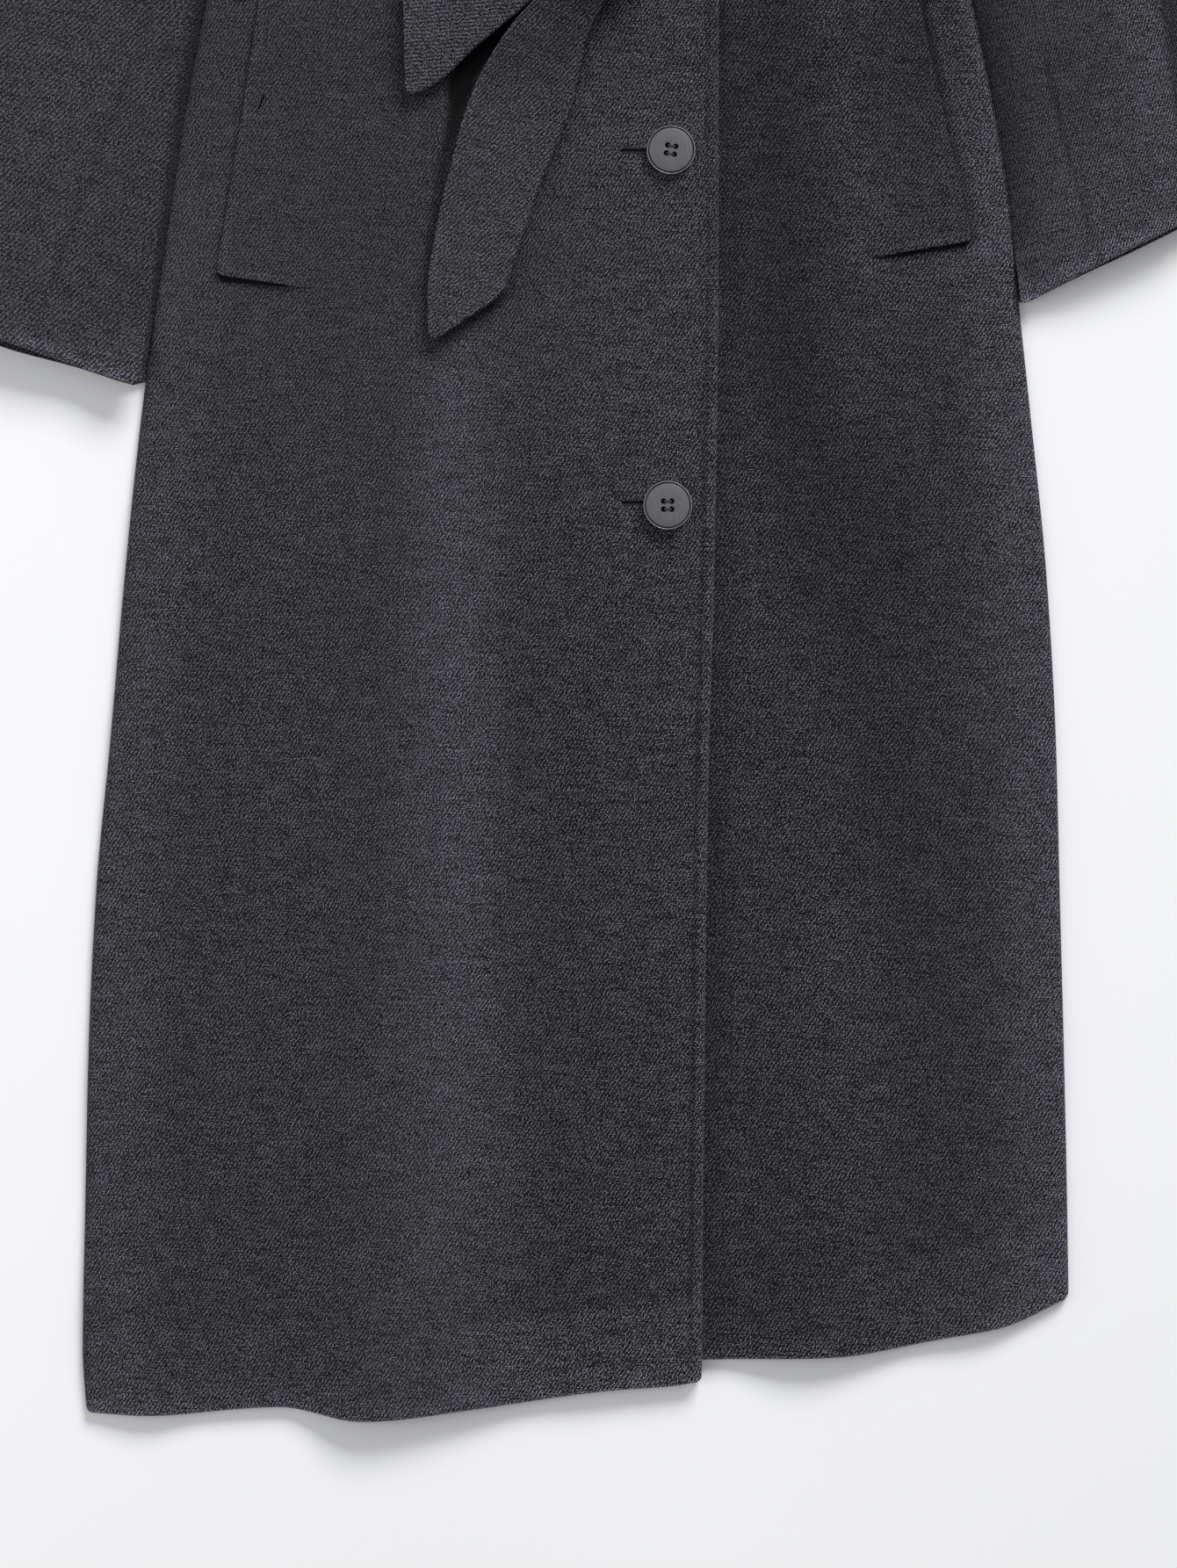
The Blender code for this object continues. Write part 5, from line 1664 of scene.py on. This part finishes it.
def buttonhole(name, left, right, drop):
    """A worked buttonhole: thread across both lips, and a line of near-black beads between them: painted
    shade in the slit.
    """
    x = spaced(left, right, BUTTONHOLE_STEP)

    def line(at, lift):
        spot = np.full(len(x), at)
        return list(placed(x, spot, front_top(LEFT, x, spot) + lift))

    lips = [line(drop + up * (BUTTONHOLE_HALF + BUTTONHOLE_LIP), LIP_LIFT) for up in (-1, 1)]
    return (
        sewn(name + "_stitches", lips, WOOL_THREAD, LIP_STITCH, across=True),
        sewn(name + "_slit", [line(drop, SLIT_LIFT)], DARK_THREAD_AND_SHADE, SLIT_SHADE_BEADS),
    )


# The start-up file's own lamp and camera are not wanted.
for old in [o for o in bpy.data.objects if o.type in ("LIGHT", "CAMERA")]:
    bpy.data.objects.remove(old)

WOOL = wool_finish()
BUTTON = button_finish("matte_dark_button", (0.082, 0.081, 0.091), (0.12, 0.118, 0.131), 0.36, 0.52)
# Near-black groove: painted shade in the button's groove. Lighter rim: a painted highlight on the polished
# rim, which is also smooth.
BUTTON_GROOVE_SHADE = button_finish("dark_button_groove", (0.012, 0.012, 0.014), (0.025, 0.025, 0.028), 0.5, 0.6)
BUTTON_RIM_HIGHLIGHT = button_finish("polished_button_rim", (0.15, 0.149, 0.16), (0.23, 0.228, 0.242), 0.1, 0.2)
BUTTON_THREAD = thread_finish("button_thread", (0.03, 0.03, 0.034), (0.09, 0.089, 0.098), 0.2)
# Near-black: real thread for the welt's bar tack, and painted shade in the button holes and the buttonhole
# slits.
DARK_THREAD_AND_SHADE = thread_finish("dark_thread", (0.0015, 0.0015, 0.002), (0.005, 0.005, 0.006), 0.04)
WOOL_THREAD = thread_finish("wool_thread", (0.012, 0.012, 0.015), (0.045, 0.044, 0.052), 0.2)
STITCHES = stitch_tree()

dress("belt_back", belt_back_points(), BELT_WALL, BELT_GRAIN, "belt_wool", "laid", ["floor"], rim=BELT_RIM)
dress("back_panel", back_points(), WALL, BACK_GRAIN, "wool", "laid", ["belt_back_cloth"])

for side, front, word in ((RIGHT, "under", "right"), (LEFT, "over", "left")):
    on_front = ["front_" + front + "_cloth"]
    sleeve, welt, belt = "sleeve_" + word, "welt_" + word, "belt_front_" + word
    on_under, on_belt = [sleeve + "_under_cloth"], [belt + "_cloth"]
    points, nap = front_points(side)
    dress("front_" + front, points, WALL, FRONT_GRAIN[side], "wool", "laid", ["back_panel_cloth"], nap=nap)
    dress(sleeve + "_under", sleeve_under_points(side), WALL, SLEEVE_GRAIN[side], "wool", "laid", ["floor"])
    points, nap = sleeve_top_points(side)
    dress(sleeve + "_top", points, WALL, SLEEVE_GRAIN[side], "wool", "laid", on_under, nap=nap)
    dress("lapel_" + front, lapel_points(side), WALL, FACING_GRAIN, "wool", "folded", on_front)
    dress("collar_" + word, collar_points(side), WALL, FACING_GRAIN, "wool", "folded", ["back_panel_cloth"])

    points, feather, nap, path = welt_points(side)
    cut = plan_cut(points)
    piece = cloth(welt + "_cloth", points, cut, WELT_WALL, FRONT_GRAIN[side], nap=nap, thin=feather)
    trims = [sewn(welt + "_stitches", [path], WOOL_THREAD, WELT_STITCH)]
    # A thin near-black sheet at the welt's lower end: painted shadow inside the pocket.
    inside = welt_gap_points(side)
    shade = np.full(inside.shape[:2], -GAP_SHADE[side])
    trims.append(cloth(welt + "_opening", inside, plan_cut(inside), GAP_WALL, FRONT_GRAIN[side], 0, shade))
    if side == LEFT:
        lifts = [front_top(side, spot.x, spot.drop) + WELT_WALL + TACK_LIFT for spot in TACK]
        ends = [placed(spot.x, spot.drop, lift) for spot, lift in zip(TACK, lifts)]
        trims.append(sewn(welt + "_tack", [ends], DARK_THREAD_AND_SHADE, TACK_STITCH))
    lay(piece, welt, trims)

    dress(belt, belt_points(side), BELT_WALL, BELT_GRAIN, "belt_wool", "gathered", on_front, rim=BELT_RIM)
    points = loop_points(side)
    dress("loop_" + word, points, LOOP_WALL, BELT_GRAIN, "belt_wool", "laid", on_belt, rim=LOOP_RIM)

on_over = ["front_over_cloth"]
points = knot_points()
cut = strip_cut(np.concatenate((points, points[:1])))
dress("belt_knot", points, BELT_WALL, BELT_GRAIN, "belt_wool", "gathered", on_over, cut, rim=BELT_RIM)
for node, tail in TAILS.items():
    points, nap = tail_points(tail)
    flat = strip_cut(points)
    dress(node, points, TAIL_WALL, tail.grain, "belt_wool", "laid", on_over, flat=flat, rim=TAIL_RIM, nap=nap)

for node, (x, drop, turn) in BUTTON_PLACES.items():
    piece = button_mesh(node + "_turned", x, drop, turn)
    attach(piece, BODY)
    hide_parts(node)
    for part in button_threads(node + "_thread", x, drop, turn):
        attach(part, BODY)
    for part in buttonhole(node.replace("button", "buttonhole"), *BUTTONHOLES[node]):
        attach(part, BODY)

# Floor, light and camera: the floor's size and the lamps' places and sizes are in metres.
floor_mesh = bpy.data.meshes.new("floor")
plane = bmesh.new()
bmesh.ops.create_grid(plane, x_segments=1, y_segments=1, size=FLOOR_SIZE / 2)
plane.to_mesh(floor_mesh)
plane.free()
floor_mesh.materials.append(floor_finish())
as_piece("floor", floor_mesh)

SKY_COLOUR = (0.97, 0.98, 1, 1)
SKY_STRENGTH = 0.43
world = bpy.data.worlds.new("studio")
bpy.context.scene.world = world
world.use_nodes = True
sky = world.node_tree.nodes["Background"].inputs
sky["Color"].default_value = SKY_COLOUR
sky["Strength"].default_value = SKY_STRENGTH

Lamp = namedtuple("Lamp", "name place size power")
LAMPS = (
    Lamp("key", (3.1, 6.4, 3.4), (4.5, 2.4), 815),
    Lamp("left_fill", (-2.8, -0.4, 1.5), (1.4, 2.4), 24),
    Lamp("right_fill", (2.6, -1, 1.2), (1.2, 2.4), 4),
)
photo_middle = Vector((0, COAT_Y - PHOTO_CENTRE_DROP * MM, 0))
for lamp in LAMPS:
    light = bpy.data.lights.new(lamp.name, "AREA")
    light.shape = "RECTANGLE"
    light.size, light.size_y = lamp.size
    light.energy = lamp.power
    holder = as_piece(lamp.name, light)
    holder.location = lamp.place
    holder.rotation_euler = (photo_middle - holder.location).to_track_quat("-Z", "Y").to_euler()

camera = bpy.data.cameras.new("camera")
camera.sensor_width = SENSOR
camera.lens = SENSOR * CAMERA_HEIGHT / PHOTO_HEIGHT
view = as_piece("camera", camera)
view.location = (COAT_X, COAT_Y - PHOTO_CENTRE_DROP * MM, (CAMERA_HEIGHT + FRONT_TOP) * MM)
bpy.context.scene.camera = view
bpy.context.scene.view_settings.view_transform = "Standard"
